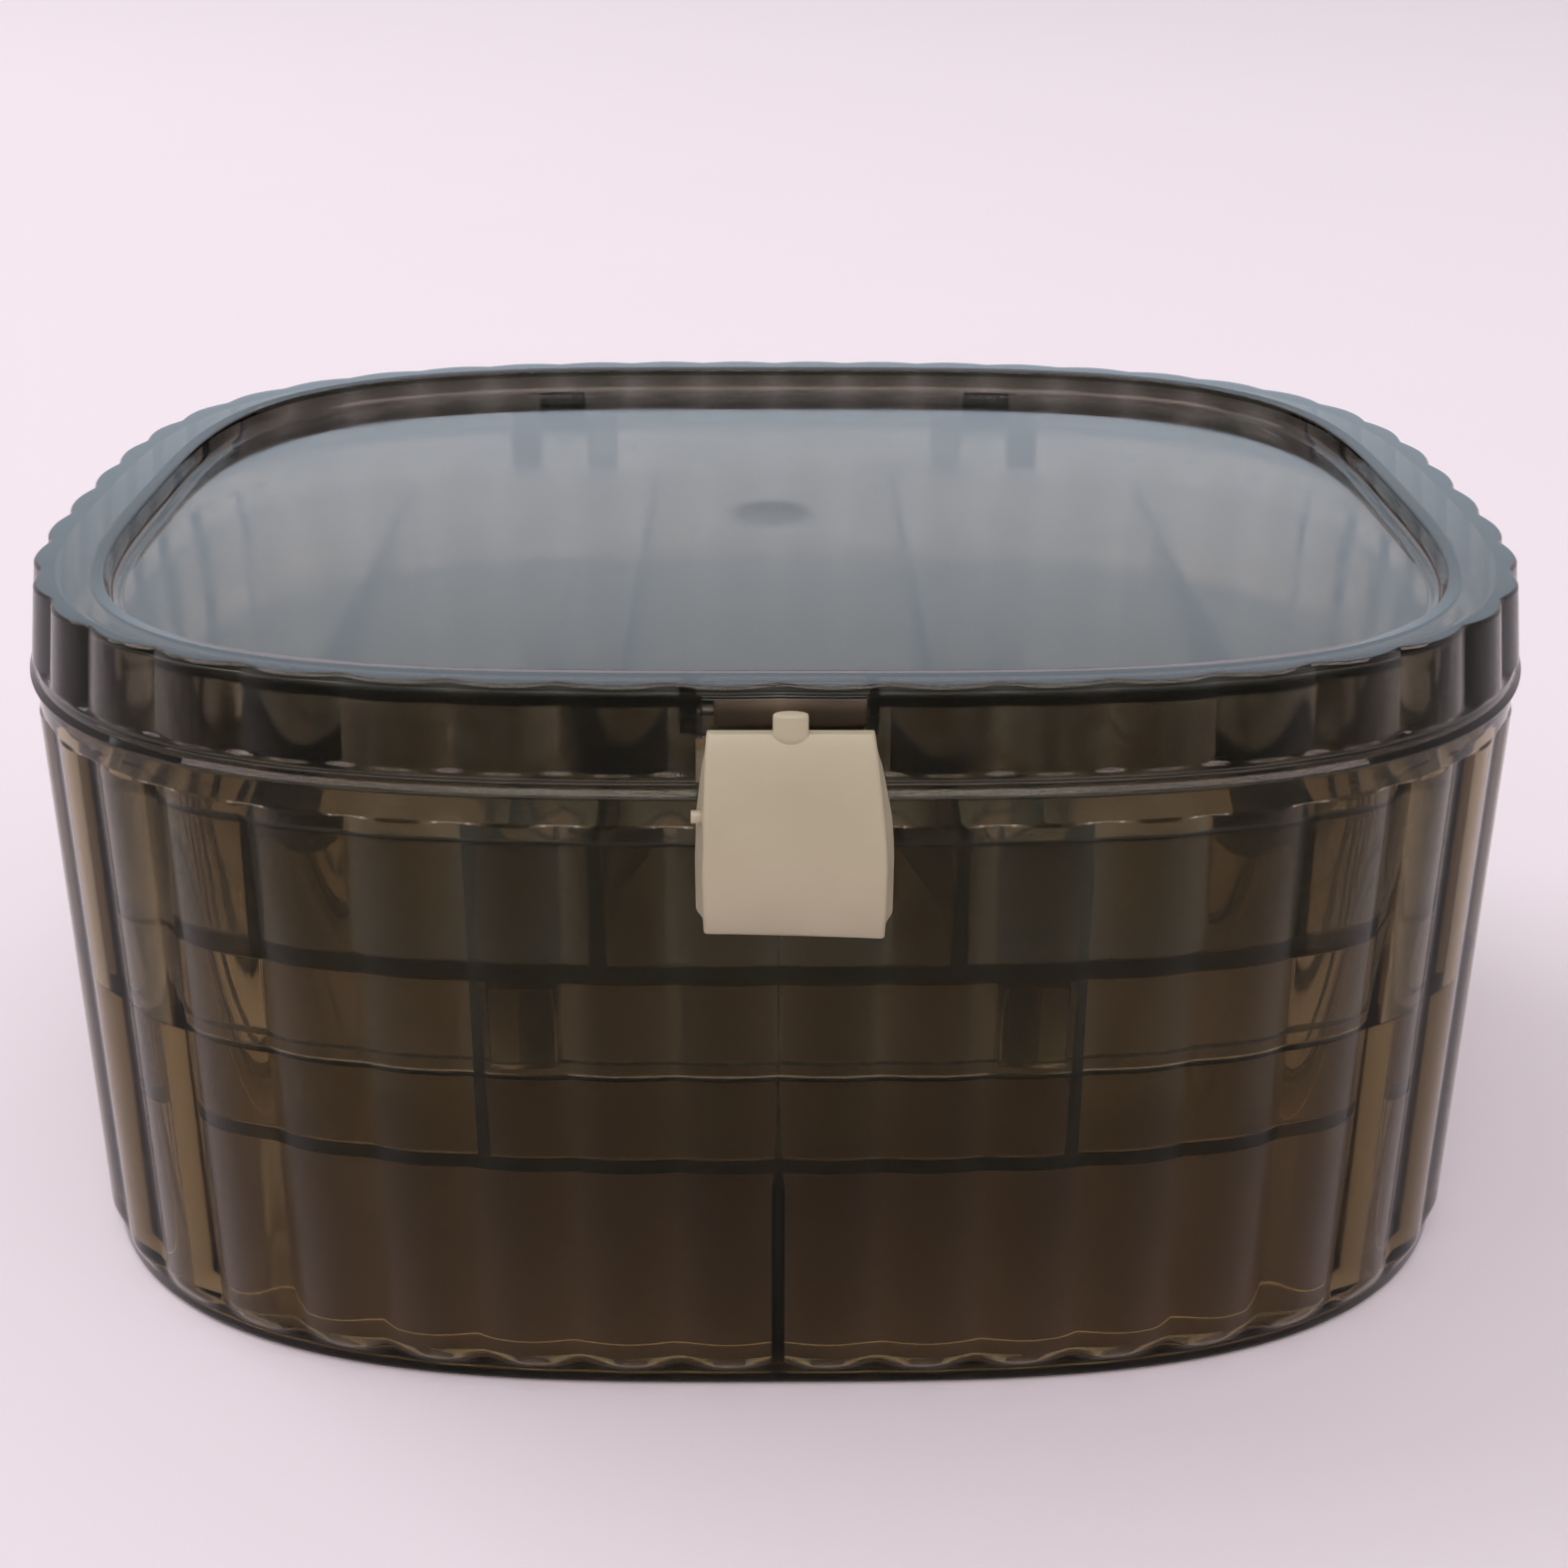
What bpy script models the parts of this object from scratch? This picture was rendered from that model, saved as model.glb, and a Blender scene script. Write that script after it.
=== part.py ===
"""Jewellery box with a hinged lid, a front latch and two lift-out trays, in smoked fluted plastic.

Metres, +Z up. The origin lies on the table under the middle of the box, and the latch faces -Y.
Every wall is the casing's plan curve, moved in or out along its own normals, so lid, casing
and trays follow one another when a size changes.
"""
import math

import bpy
import numpy as np

# Plan of the casing, measured in the bottoms of its flutes
HALF_WIDTH = 0.1190
HALF_DEPTH = 0.0932
PLAN_POWER = 3.1

# Flutes: rounded lobes that meet in narrow grooves
FLUTE_PITCH = 0.0150
FLUTE_DEPTH = 0.0013
FLUTE_FADE = 0.0014
STEPS_PER_FLUTE = 6
PLAIN_STEP = 3

# Clearances and the overrun that lets one solid run into the one it joins or cuts
GAP = 0.0003
PIN_CLEARANCE = 0.0001
WALL_CLEARANCE = 0.0006
OVERRUN = 0.0010

# Whole box, from the table to the top of the lid
TOTAL_HEIGHT = 0.1165
LID_HEIGHT = 0.0155

# Casing
CASING_WALL = 0.0018
LEDGE_WIDTH = 0.0014
FLOOR_THICKNESS = 0.0024
FOOT_WIDTH = 0.0070
FOOT_STEP = 0.0008
BASE_ROUND = 0.0024
INNER_ROUND = 0.0015
NECK_HEIGHT = 0.0041
NECK_SHARE = 0.75
RIM_ROUND = 0.0006
LIP_HEIGHT = 0.0014
LIP_SETBACK = 0.0006
CASING_DIVIDER_THICKNESS = 0.0026
CASING_DIVIDER_DROP = 0.0011

# Lid
LID_TAPER = 0.0017
SKIRT_WALL = 0.0018
TOP_WALL = 0.0018
TOP_EDGE = 0.0008
BEAD_HEIGHT = 0.0012
BEAD_ROUND = 0.0004
PLAIN_BAND = 0.0029
RECESS_SIDE = 0.0118
RECESS_FRONT = 0.0072
RECESS_POWER = 3.5
RECESS_DEPTH = 0.0045
RECESS_SLOPE = 0.0028
PANEL_WALL = 0.0016
# Height under the top, and place across the slope, of the points of the recess's rounded wall
RECESS_DROP_SHARES = (1.0, 0.87, 0.27, 0.0)
RECESS_ACROSS_SHARES = (-1.0, -0.43, 0.0, 0.29)

# Trays
TRAY_WALL = 0.0015
TRAY_FLOOR = 0.0018
TRAY_ROUND = 0.0007
TOP_TRAY_DROP = 0.0084
TOP_TRAY_HEIGHT = 0.0217
MIDDLE_TRAY_HEIGHT = 0.0330
SHOULDER_DROP = 0.0155
DIVIDER_TOP = 0.0014
DIVIDER_BASE = 0.0024
DIVIDER_DROP = 0.0010
TOP_DIVIDER_SHARE = 0.427
TOP_DIVIDER_COUNT = 4
MIDDLE_DIVIDER_SHARE = 0.728
MIDDLE_DIVIDER_COUNT = 2
PAD_WIDTH = 0.0092
PAD_THICKNESS = 0.0012
PAD_SHARE = 0.311

# Rear hinges
HINGE_SHARE = 0.378
KNUCKLE_RADIUS = 0.0028
KNUCKLE_GAP = 0.0004
LID_KNUCKLE_LENGTH = 0.0096
CASING_KNUCKLE_LENGTH = 0.0060
GUSSET_HEIGHT = 0.0078
HINGE_PIN_RADIUS = 0.0010
HINGE_PIN_OVERHANG = 0.0006
GUSSET_TANGENT = math.radians(40)

# Latch
LATCH_LENGTH = 0.0297
LATCH_DROP = 0.0055
LATCH_FULLEST_SHARE = 0.4815
LATCH_ARC_SHARE = 0.623
LATCH_ARC_DEPTH = 0.0105
LATCH_THICKNESS = 0.0015
LATCH_HALF_TOP = 0.0112
LATCH_HALF_FULL = 0.0122
LATCH_STATION_COUNT = 13
CHEEK_WALL = 0.0013
CHEEK_STAND = 0.0008
CHEEK_TOP_DROP = 0.0038
CHEEK_FOOT_RISE = 0.0035
CHEEK_SETBACK = 0.0006
CHEEK_STATION_COUNT = 7
BARREL_RADIUS = 0.0017
BARREL_DROP = 0.0053
BARREL_HALF = 0.0104
ARM_THICKNESS = 0.0016
ARM_SHARE = 0.647
WEB_THICKNESS = 0.0016
HOOK_THICKNESS = 0.0025
PEG_HALF_WIDTH = 0.0024
PEG_HALF_DEPTH = 0.0012
PEG_HEIGHT = 0.0036
PEG_STAND = 0.0003
NUB_RADIUS = 0.0009
NUB_STAND = 0.0007
NUB_RISE = 0.0032
LATCH_PIN_RADIUS = 0.0006

# Lid's bearings for the latch, and the casing's catch
EAR_THICKNESS = 0.0026
EAR_DROP = 0.0022
WINDOW_SIDE = 0.0009
WINDOW_DROP = 0.0071
CATCH_HALF = 0.0090
CATCH_DROP = 0.0073
CATCH_HEIGHT = 0.0012
CATCH_SLOPE = 0.0036
CATCH_STAND = 0.0019

ROUND_SIDE_COUNT = 20
PLAN_SAMPLE_COUNT = 20000
SMOOTH_ANGLE = math.radians(35)


def plan_curve(half_width, half_depth, power, count):
    """Points and outward normals of |x/a|^n + |y/b|^n = 1, evenly spaced from the front middle."""
    def at(angle):
        along, across = np.cos(angle), np.sin(angle)
        size = np.abs(along / half_width) ** power + np.abs(across / half_depth) ** power
        reach = size ** (-1 / power)
        return np.stack([reach * along, reach * across], axis=1)

    angles = np.linspace(0, 2 * math.pi, PLAN_SAMPLE_COUNT + 1) - math.pi / 2
    run = at(angles)
    length = np.concatenate([[0], np.cumsum(np.hypot(*np.diff(run, axis=0).T))])
    points = at(np.interp(np.arange(count) / count * length[-1], length, angles))
    half = np.array([half_width, half_depth])
    normals = np.sign(points) * np.abs(points / half) ** (power - 1) / half
    normals /= np.linalg.norm(normals, axis=1)[:, None]
    return points, normals, length[-1]


def flute_count():
    """The even number of flutes that comes nearest to the pitch."""
    around = plan_curve(HALF_WIDTH, HALF_DEPTH, PLAN_POWER, 4)[2]
    return 2 * max(2, round(around / FLUTE_PITCH / 2))


RING_COUNT = flute_count() * STEPS_PER_FLUTE
RECESS_HALF_WIDTH = HALF_WIDTH - RECESS_SIDE
RECESS_HALF_DEPTH = HALF_DEPTH - RECESS_FRONT
BODY_PLAN = plan_curve(HALF_WIDTH, HALF_DEPTH, PLAN_POWER, RING_COUNT)
RECESS_PLAN = plan_curve(RECESS_HALF_WIDTH, RECESS_HALF_DEPTH, RECESS_POWER, RING_COUNT)
LOBES = np.sin(math.pi * (np.arange(RING_COUNT) % STEPS_PER_FLUTE) / STEPS_PER_FLUTE)

# Heights that follow from the whole box's, from the lid down
LID_BOTTOM = TOTAL_HEIGHT - LID_HEIGHT
RIM_HEIGHT = LID_BOTTOM - GAP
TOP_TRAY_RIM = RIM_HEIGHT - TOP_TRAY_DROP
TOP_TRAY_BOTTOM = TOP_TRAY_RIM - TOP_TRAY_HEIGHT
MIDDLE_TRAY_RIM = TOP_TRAY_BOTTOM - GAP
MIDDLE_TRAY_SHOULDER = MIDDLE_TRAY_RIM - SHOULDER_DROP
MIDDLE_TRAY_BOTTOM = MIDDLE_TRAY_RIM - MIDDLE_TRAY_HEIGHT
LEDGE_HEIGHT = MIDDLE_TRAY_SHOULDER - GAP
CASING_DIVIDER_HEIGHT = MIDDLE_TRAY_BOTTOM - CASING_DIVIDER_DROP
LATCH_TOP = TOTAL_HEIGHT - LATCH_DROP
LATCH_BOTTOM = LATCH_TOP - LATCH_LENGTH
LATCH_FULLEST = LATCH_BOTTOM + LATCH_FULLEST_SHARE * LATCH_LENGTH
BARREL_HEIGHT = TOTAL_HEIGHT - BARREL_DROP
WINDOW_TOP = TOTAL_HEIGHT - WINDOW_DROP
CATCH_BOTTOM = RIM_HEIGHT - CATCH_DROP

# Places that several pieces share
LATCH_ARC_HEIGHT = LATCH_ARC_SHARE * LATCH_LENGTH
HINGE_X = HINGE_SHARE * HALF_WIDTH
UPPER_WALL = -CASING_WALL
LOWER_WALL = UPPER_WALL - LEDGE_WIDTH
LIP_OUTER = -LIP_SETBACK
RABBET_TOP = RIM_HEIGHT + LIP_HEIGHT + GAP
LOBE_DEPTH = HALF_DEPTH + FLUTE_DEPTH
HINGE_Y = LOBE_DEPTH + KNUCKLE_GAP + KNUCKLE_RADIUS
HINGE_Z = (RIM_HEIGHT + LID_BOTTOM) / 2
REACH = HINGE_Y + KNUCKLE_RADIUS
PANEL_UNDERSIDE = TOTAL_HEIGHT - RECESS_DEPTH - PANEL_WALL
LATCH_MIDDLE_Y = -REACH + LATCH_ARC_DEPTH
CATCH_NOSE = -LOBE_DEPTH - CATCH_STAND


def ring(offset, height, flute=None, plan=BODY_PLAN):
    """One loop of points. A plain loop has fewer points; a fluted one has lobes of that share."""
    points, normals = plan[0], plan[1]
    if flute is None:
        points, normals = points[::PLAIN_STEP], normals[::PLAIN_STEP]
        out = np.full(len(points), offset)
    else:
        out = offset + flute * FLUTE_DEPTH * LOBES
    flat = points + normals * out[:, None]
    return np.column_stack([flat, np.full(len(flat), height)])


def band_faces(first, second):
    """Faces between two loops, where one loop may have a whole number of times more points."""
    if len(first) < len(second):
        return [face[::-1] for face in band_faces(second, first)]
    ratio = len(first) // len(second)
    faces = []
    for k in range(len(second)):
        here, there = second[k], second[(k + 1) % len(second)]
        fine = [first[(k * ratio + j) % len(first)] for j in range(ratio + 1)]
        if ratio == 1:
            faces.append((fine[0], fine[1], there, here))
            continue
        turn = ratio // 2
        faces += [(fine[j], fine[j + 1], here) for j in range(turn)]
        faces.append((fine[turn], there, here))
        faces += [(fine[j], fine[j + 1], there) for j in range(turn, ratio)]
    return faces


def make_object(name, points, faces):
    """A mesh object whose faces all point outwards."""
    mesh = bpy.data.meshes.new(name)
    mesh.from_pydata([tuple(map(float, p)) for p in points], [], faces)
    mesh.update()
    made = bpy.data.objects.new(name, mesh)
    bpy.context.scene.collection.objects.link(made)
    bpy.context.view_layer.objects.active = made
    bpy.ops.object.mode_set(mode="EDIT")
    bpy.ops.mesh.select_all(action="SELECT")
    bpy.ops.mesh.normals_make_consistent(inside=False)
    bpy.ops.object.mode_set(mode="OBJECT")
    return made


def skin(name, rings):
    """One closed wall: loops in order, from the middle of the one face to that of the other."""
    points, faces, loops = [], [], []
    for loop in rings:
        loops.append(list(range(len(points), len(points) + len(loop))))
        points += list(loop)
    faces.append(tuple(loops[0]))
    for first, second in zip(loops, loops[1:]):
        faces += band_faces(first, second)
    faces.append(tuple(loops[-1]))
    return make_object(name, points, faces)


def loft(first, last, low_x, high_x):
    """Points and faces between two (y, z) outlines, the first at low_x and the last at high_x."""
    count = len(first)
    points = [(low_x, y, z) for y, z in first] + [(high_x, y, z) for y, z in last]
    faces = [tuple(range(count)), tuple(range(2 * count - 1, count - 1, -1))]
    faces += [(k, (k + 1) % count, count + (k + 1) % count, count + k) for k in range(count)]
    return points, faces


def prism(outline, low_x, high_x):
    """Points and faces of a (y, z) outline that runs from low_x to high_x."""
    return loft(outline, outline, low_x, high_x)


def block(low, high):
    """Points and faces of a plain box between two corners."""
    outline = [(low[1], low[2]), (high[1], low[2]), (high[1], high[2]), (low[1], high[2])]
    return prism(outline, low[0], high[0])


def arc(centre, radius, start, stop, sides=ROUND_SIDE_COUNT):
    """Points of a (y, z) arc, with the angle measured from +Y towards +Z."""
    turns = np.linspace(start, stop, sides + 1)
    return [(centre[0] + radius * math.cos(t), centre[1] + radius * math.sin(t)) for t in turns]


def rod(centre, radius, low_x, high_x):
    """Points and faces of a round bar along X."""
    return prism(arc(centre, radius, 0, 2 * math.pi)[:-1], low_x, high_x)


def upright(centre, radii, low_z, high_z):
    """Points and faces of an oval bar along Z."""
    turns = [2 * math.pi * k / ROUND_SIDE_COUNT for k in range(ROUND_SIDE_COUNT)]
    oval = [(centre[0] + radii[0] * math.cos(t), centre[1] + radii[1] * math.sin(t))
            for t in turns]
    points = [(x, y, z) for z in (low_z, high_z) for x, y in oval]
    return points, prism(oval, low_z, high_z)[1]


def tool_object(name, solids):
    """Several separate solids in one object that is only there to be joined or cut away."""
    points, faces = [], []
    for solid_points, solid_faces in solids:
        faces += [tuple(k + len(points) for k in face) for face in solid_faces]
        points += solid_points
    made = make_object(name, points, faces)
    made.hide_render = True
    made.display_type = "WIRE"
    return made


def combine(target, operation, name, solids):
    """Joins solids to a piece, or cuts them from it."""
    modifier = target.modifiers.new(name, "BOOLEAN")
    modifier.operation = operation
    modifier.solver = "EXACT"
    modifier.object = tool_object(name, solids)


def finish(target, colour, roughness, metallic=0.0, transmission=0.0):
    """Smooth shading and the piece's own material."""
    material = bpy.data.materials.new(target.name)
    material.use_nodes = True
    shader = material.node_tree.nodes["Principled BSDF"]
    shader.inputs["Base Color"].default_value = (*colour, 1)
    shader.inputs["Roughness"].default_value = roughness
    shader.inputs["Metallic"].default_value = metallic
    shader.inputs["Transmission Weight"].default_value = transmission
    target.data.materials.append(material)
    target.data.shade_smooth()
    target.data.set_sharp_from_angle(angle=SMOOTH_ANGLE)


def smoked(target):
    """The clear brown-grey plastic of lid, casing and trays."""
    finish(target, colour=(0.28, 0.22, 0.17), roughness=0.08, transmission=1.0)


def depth_at(x, offset):
    """How far the plan curve, moved by that offset, reaches along Y at one X."""
    half_width, half_depth = HALF_WIDTH + offset, HALF_DEPTH + offset
    share = min(abs(x) / half_width, 1.0)
    return half_depth * (1 - share ** PLAN_POWER) ** (1 / PLAN_POWER)


def divider(x, offset, low, high, base, top):
    """A wall across a tray, thicker at its foot, that runs into the tray's own walls."""
    reach = depth_at(x, offset)
    points = []
    for height, thickness in ((low, base), (high, top)):
        points += [(x - thickness / 2, -reach, height), (x + thickness / 2, -reach, height),
                   (x + thickness / 2, reach, height), (x - thickness / 2, reach, height)]
    faces = [(0, 3, 2, 1), (4, 5, 6, 7)]
    faces += [(k, (k + 1) % 4, 4 + (k + 1) % 4, 4 + k) for k in range(4)]
    return points, faces


def divider_row(count, share, offset, low, high):
    """Dividers spaced by a share of the box's half width, centred on the box."""
    places = [(k - (count - 1) / 2) * share * HALF_WIDTH for k in range(count)]
    return [divider(x, offset, low, high, DIVIDER_BASE, DIVIDER_TOP) for x in places]


def knuckle_outline(x, rise):
    """A knuckle with its gusset, cut at one X, where the gusset ends inside the curved wall."""
    outline = arc((HINGE_Y, HINGE_Z), KNUCKLE_RADIUS, rise * GUSSET_TANGENT, -rise * math.pi)
    outline.append((depth_at(x, 0), HINGE_Z + rise * (RIM_ROUND + GAP)))
    outline.append((depth_at(x, -OVERRUN), HINGE_Z + rise * GUSSET_HEIGHT))
    return outline


def knuckle(middle, length, rise):
    """One hinge knuckle: the casing's hang below the axis (rise -1), the lid's stand above it."""
    low, high = middle - length / 2, middle + length / 2
    return loft(knuckle_outline(low, rise), knuckle_outline(high, rise), low, high)


def hinge_holes():
    """Bores through all knuckles of both hinges."""
    half = LID_KNUCKLE_LENGTH / 2 + CASING_KNUCKLE_LENGTH + OVERRUN
    bore = HINGE_PIN_RADIUS + PIN_CLEARANCE
    return [rod((HINGE_Y, HINGE_Z), bore, side * HINGE_X - half, side * HINGE_X + half)
            for side in (-1, 1)]


def casing_rings():
    """From the underside, up the fluted outside, over the rim and down to the inner floor."""
    foot = -BASE_ROUND - FOOT_WIDTH
    neck = NECK_SHARE * FLUTE_DEPTH
    flute_top = RIM_HEIGHT - NECK_HEIGHT
    slope = BASE_ROUND * (1 - math.sqrt(0.5))
    lip_top = RIM_HEIGHT + LIP_HEIGHT
    return [
        ring(foot, FOOT_STEP),
        ring(foot, 0),
        ring(-BASE_ROUND, 0, flute=1),
        ring(-slope, slope, flute=1),
        ring(0, BASE_ROUND, flute=1),
        ring(0, flute_top - FLUTE_FADE, flute=1),
        ring(neck, flute_top),
        ring(neck, RIM_HEIGHT - RIM_ROUND),
        ring(neck - RIM_ROUND, RIM_HEIGHT),
        ring(LIP_OUTER, RIM_HEIGHT),
        ring(LIP_OUTER, lip_top),
        ring(UPPER_WALL, lip_top),
        ring(UPPER_WALL, LEDGE_HEIGHT),
        ring(LOWER_WALL, LEDGE_HEIGHT),
        ring(LOWER_WALL, FLOOR_THICKNESS + INNER_ROUND),
        ring(LOWER_WALL - INNER_ROUND, FLOOR_THICKNESS),
    ]


def barrel_centre():
    """Where the latch turns: just behind the skirt, in the hollow under the lid's ring."""
    rise = (BARREL_HEIGHT - RABBET_TOP) / (TOTAL_HEIGHT - TOP_WALL - RABBET_TOP)
    skirt_inside = HALF_DEPTH - SKIRT_WALL - rise * LID_TAPER
    return -(skirt_inside - GAP - BARREL_RADIUS), BARREL_HEIGHT


def swing_height(y, radius):
    """Height, at one Y, of the arc of that radius below the latch's pin."""
    pin_y, pin_z = barrel_centre()
    return pin_z - math.sqrt(radius ** 2 - (y - pin_y) ** 2)


def catch_radius():
    """How far the nose of the catch lies from the latch's pin."""
    pin_y, pin_z = barrel_centre()
    return math.hypot(CATCH_NOSE - pin_y, CATCH_BOTTOM - pin_z)


def catch():
    """The wedge on the casing's front that the latch hooks under. Its underside slopes down to
    the wall, along the arc that the hook swings on."""
    wall = -HALF_DEPTH + OVERRUN
    low = swing_height(wall, catch_radius())
    high = CATCH_BOTTOM + CATCH_HEIGHT
    outline = [(wall, low), (CATCH_NOSE, CATCH_BOTTOM), (CATCH_NOSE, high),
               (wall, high + CATCH_SLOPE)]
    return prism(outline, -CATCH_HALF, CATCH_HALF)


def make_casing():
    casing = skin("casing", casing_rings())
    step = (LID_KNUCKLE_LENGTH + CASING_KNUCKLE_LENGTH) / 2 + GAP
    added = [knuckle(side * HINGE_X + shift, CASING_KNUCKLE_LENGTH, -1)
             for side in (-1, 1) for shift in (-step, step)]
    reach = depth_at(0, LOWER_WALL) + OVERRUN
    half = CASING_DIVIDER_THICKNESS / 2
    added.append(block((-half, -reach, FLOOR_THICKNESS - OVERRUN),
                       (half, reach, CASING_DIVIDER_HEIGHT)))
    added.append(catch())
    combine(casing, "UNION", "casing_added", added)
    combine(casing, "DIFFERENCE", "casing_bored", hinge_holes())
    smoked(casing)


def recess_rings():
    """The rounded wall of the recess, as loops from its floor up to the lid's top."""
    return [ring(across * RECESS_SLOPE, TOTAL_HEIGHT - drop * RECESS_DEPTH, plan=RECESS_PLAN)
            for drop, across in zip(RECESS_DROP_SHARES, RECESS_ACROSS_SHARES)]


def lid_rings():
    """From the recess's floor, over the ring, down the fluted skirt and back up the inside."""
    band_top = LID_BOTTOM + PLAIN_BAND
    bead = FLUTE_DEPTH
    under = TOTAL_HEIGHT - TOP_WALL
    over_slope = RECESS_ACROSS_SHARES[-1] * RECESS_SLOPE
    return recess_rings() + [
        ring(-LID_TAPER - TOP_EDGE, TOTAL_HEIGHT, flute=1),
        ring(-LID_TAPER, TOTAL_HEIGHT - TOP_EDGE, flute=1),
        ring(0, band_top + FLUTE_FADE, flute=1),
        ring(NECK_SHARE * FLUTE_DEPTH, band_top),
        ring(NECK_SHARE * FLUTE_DEPTH, LID_BOTTOM + BEAD_HEIGHT + BEAD_ROUND),
        ring(bead, LID_BOTTOM + BEAD_HEIGHT),
        ring(bead, LID_BOTTOM + BEAD_ROUND),
        ring(bead - BEAD_ROUND, LID_BOTTOM),
        ring(LIP_OUTER + GAP, LID_BOTTOM),
        ring(LIP_OUTER + GAP, RABBET_TOP),
        ring(-SKIRT_WALL, RABBET_TOP),
        ring(-LID_TAPER - SKIRT_WALL, under),
        ring(over_slope + PANEL_WALL / 2, under, plan=RECESS_PLAN),
        ring(0, PANEL_UNDERSIDE + PANEL_WALL / 2, plan=RECESS_PLAN),
        ring(-RECESS_SLOPE / 2, PANEL_UNDERSIDE, plan=RECESS_PLAN),
    ]


def ears():
    """Two bearings inside the lid, one at each end of the latch's barrel."""
    y, z = barrel_centre()
    low = (y - BARREL_RADIUS - OVERRUN, z - EAR_DROP)
    high = (y + BARREL_RADIUS + OVERRUN / 2, TOTAL_HEIGHT - TOP_WALL + OVERRUN / 2)
    start = BARREL_HALF + GAP
    return [block((min(side * start, side * (start + EAR_THICKNESS)), *low),
                  (max(side * start, side * (start + EAR_THICKNESS)), *high))
            for side in (-1, 1)]


def make_lid():
    lid = skin("lid", lid_rings())
    added = ears() + [knuckle(side * HINGE_X, LID_KNUCKLE_LENGTH, 1) for side in (-1, 1)]
    combine(lid, "UNION", "lid_added", added)
    side = BARREL_HALF + WINDOW_SIDE
    window = block((-side, -LOBE_DEPTH - OVERRUN, LID_BOTTOM - OVERRUN),
                   (side, barrel_centre()[0] + BARREL_RADIUS + OVERRUN, WINDOW_TOP))
    reach = BARREL_HALF + GAP + EAR_THICKNESS + OVERRUN
    bore = rod(barrel_centre(), LATCH_PIN_RADIUS + PIN_CLEARANCE, -reach, reach)
    combine(lid, "DIFFERENCE", "lid_cut", [window, bore] + hinge_holes())
    smoked(lid)


def latch_turn(height):
    """Angle on the latch's arc at one height, 0 where the latch stands out furthest."""
    return math.asin((height - LATCH_FULLEST) / LATCH_ARC_HEIGHT)


def latch_point(turn, inset=0.0):
    """A (y, z) point of the latch's curved face, or one that lies inset behind it."""
    depth, height = LATCH_ARC_DEPTH, LATCH_ARC_HEIGHT
    normal = np.array([-math.cos(turn) / depth, math.sin(turn) / height])
    normal /= np.linalg.norm(normal)
    face = np.array([LATCH_MIDDLE_Y - depth * math.cos(turn),
                     LATCH_FULLEST + height * math.sin(turn)])
    return tuple(face - inset * normal)


def latch_plate():
    """The curved front plate, a little narrower at its top."""
    points, faces = [], []
    turns = np.linspace(latch_turn(LATCH_TOP), latch_turn(LATCH_BOTTOM), LATCH_STATION_COUNT)
    for turn in turns:
        rise = max(0.0, turn / turns[0])
        half = LATCH_HALF_FULL - (LATCH_HALF_FULL - LATCH_HALF_TOP) * rise ** 2
        for x, inset in ((-half, 0.0), (half, 0.0), (half, LATCH_THICKNESS),
                         (-half, LATCH_THICKNESS)):
            points.append((x, *latch_point(turn, inset)))
    for k in range(LATCH_STATION_COUNT - 1):
        base = 4 * k
        faces += [(base + j, base + (j + 1) % 4, base + 4 + (j + 1) % 4, base + 4 + j)
                  for j in range(4)]
    last = 4 * (LATCH_STATION_COUNT - 1)
    faces += [(3, 2, 1, 0), (last, last + 1, last + 2, last + 3)]
    return make_object("latch", points, faces)


def latch_mount():
    """Barrel, arm and web in one outline: round at the pin, down, then out to the plate."""
    y, z = barrel_centre()
    foot = z - ARM_SHARE * (z - LID_BOTTOM)
    plate = latch_point(latch_turn(foot), LATCH_THICKNESS / 2)[0]
    outline = arc((y, z), BARREL_RADIUS, 0, 1.5 * math.pi)
    outline += [(y, foot + WEB_THICKNESS), (plate, foot + WEB_THICKNESS), (plate, foot),
                (y + ARM_THICKNESS, foot), (y + ARM_THICKNESS, z - BARREL_RADIUS / 2)]
    return prism(outline, -BARREL_HALF, BARREL_HALF)


def cheeks():
    """The latch's two side walls, which stand a little outside the plate."""
    high, low = LATCH_TOP - CHEEK_TOP_DROP, LATCH_BOTTOM + CHEEK_FOOT_RISE
    turns = np.linspace(latch_turn(high), latch_turn(low), CHEEK_STATION_COUNT)
    back = -LOBE_DEPTH - WALL_CLEARANCE
    outline = [latch_point(turn, CHEEK_SETBACK) for turn in turns]
    outline += [(back, low), (back, high)]
    outer = LATCH_HALF_FULL + CHEEK_STAND
    inner = outer - CHEEK_WALL
    return [prism(outline, min(side * inner, side * outer), max(side * inner, side * outer))
            for side in (-1, 1)]


def hook():
    """The bar inside the latch that catches under the casing's catch."""
    half = LATCH_HALF_FULL + CHEEK_STAND - CHEEK_WALL / 2
    tip = -LOBE_DEPTH - GAP
    top = swing_height(tip, catch_radius() + GAP)
    plate = latch_point(latch_turn(top - HOOK_THICKNESS / 2), LATCH_THICKNESS / 2)[0]
    return block((-half, plate, top - HOOK_THICKNESS), (half, tip, top))


def peg():
    """The short oval peg that stands on the latch's top edge."""
    y = latch_point(latch_turn(LATCH_TOP), LATCH_THICKNESS / 2)[0] - PEG_STAND
    return upright((0, y), (PEG_HALF_WIDTH, PEG_HALF_DEPTH),
                   LATCH_TOP - LATCH_THICKNESS, LATCH_TOP + PEG_HEIGHT)


def nub():
    """The small round gate mark on the latch's left cheek."""
    outer = LATCH_HALF_FULL + CHEEK_STAND
    height = LATCH_FULLEST + NUB_RISE
    y = latch_point(latch_turn(height), CHEEK_SETBACK + 2 * NUB_RADIUS)[0]
    return rod((y, height), NUB_RADIUS, -outer - NUB_STAND, -outer + CHEEK_WALL / 2)


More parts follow.
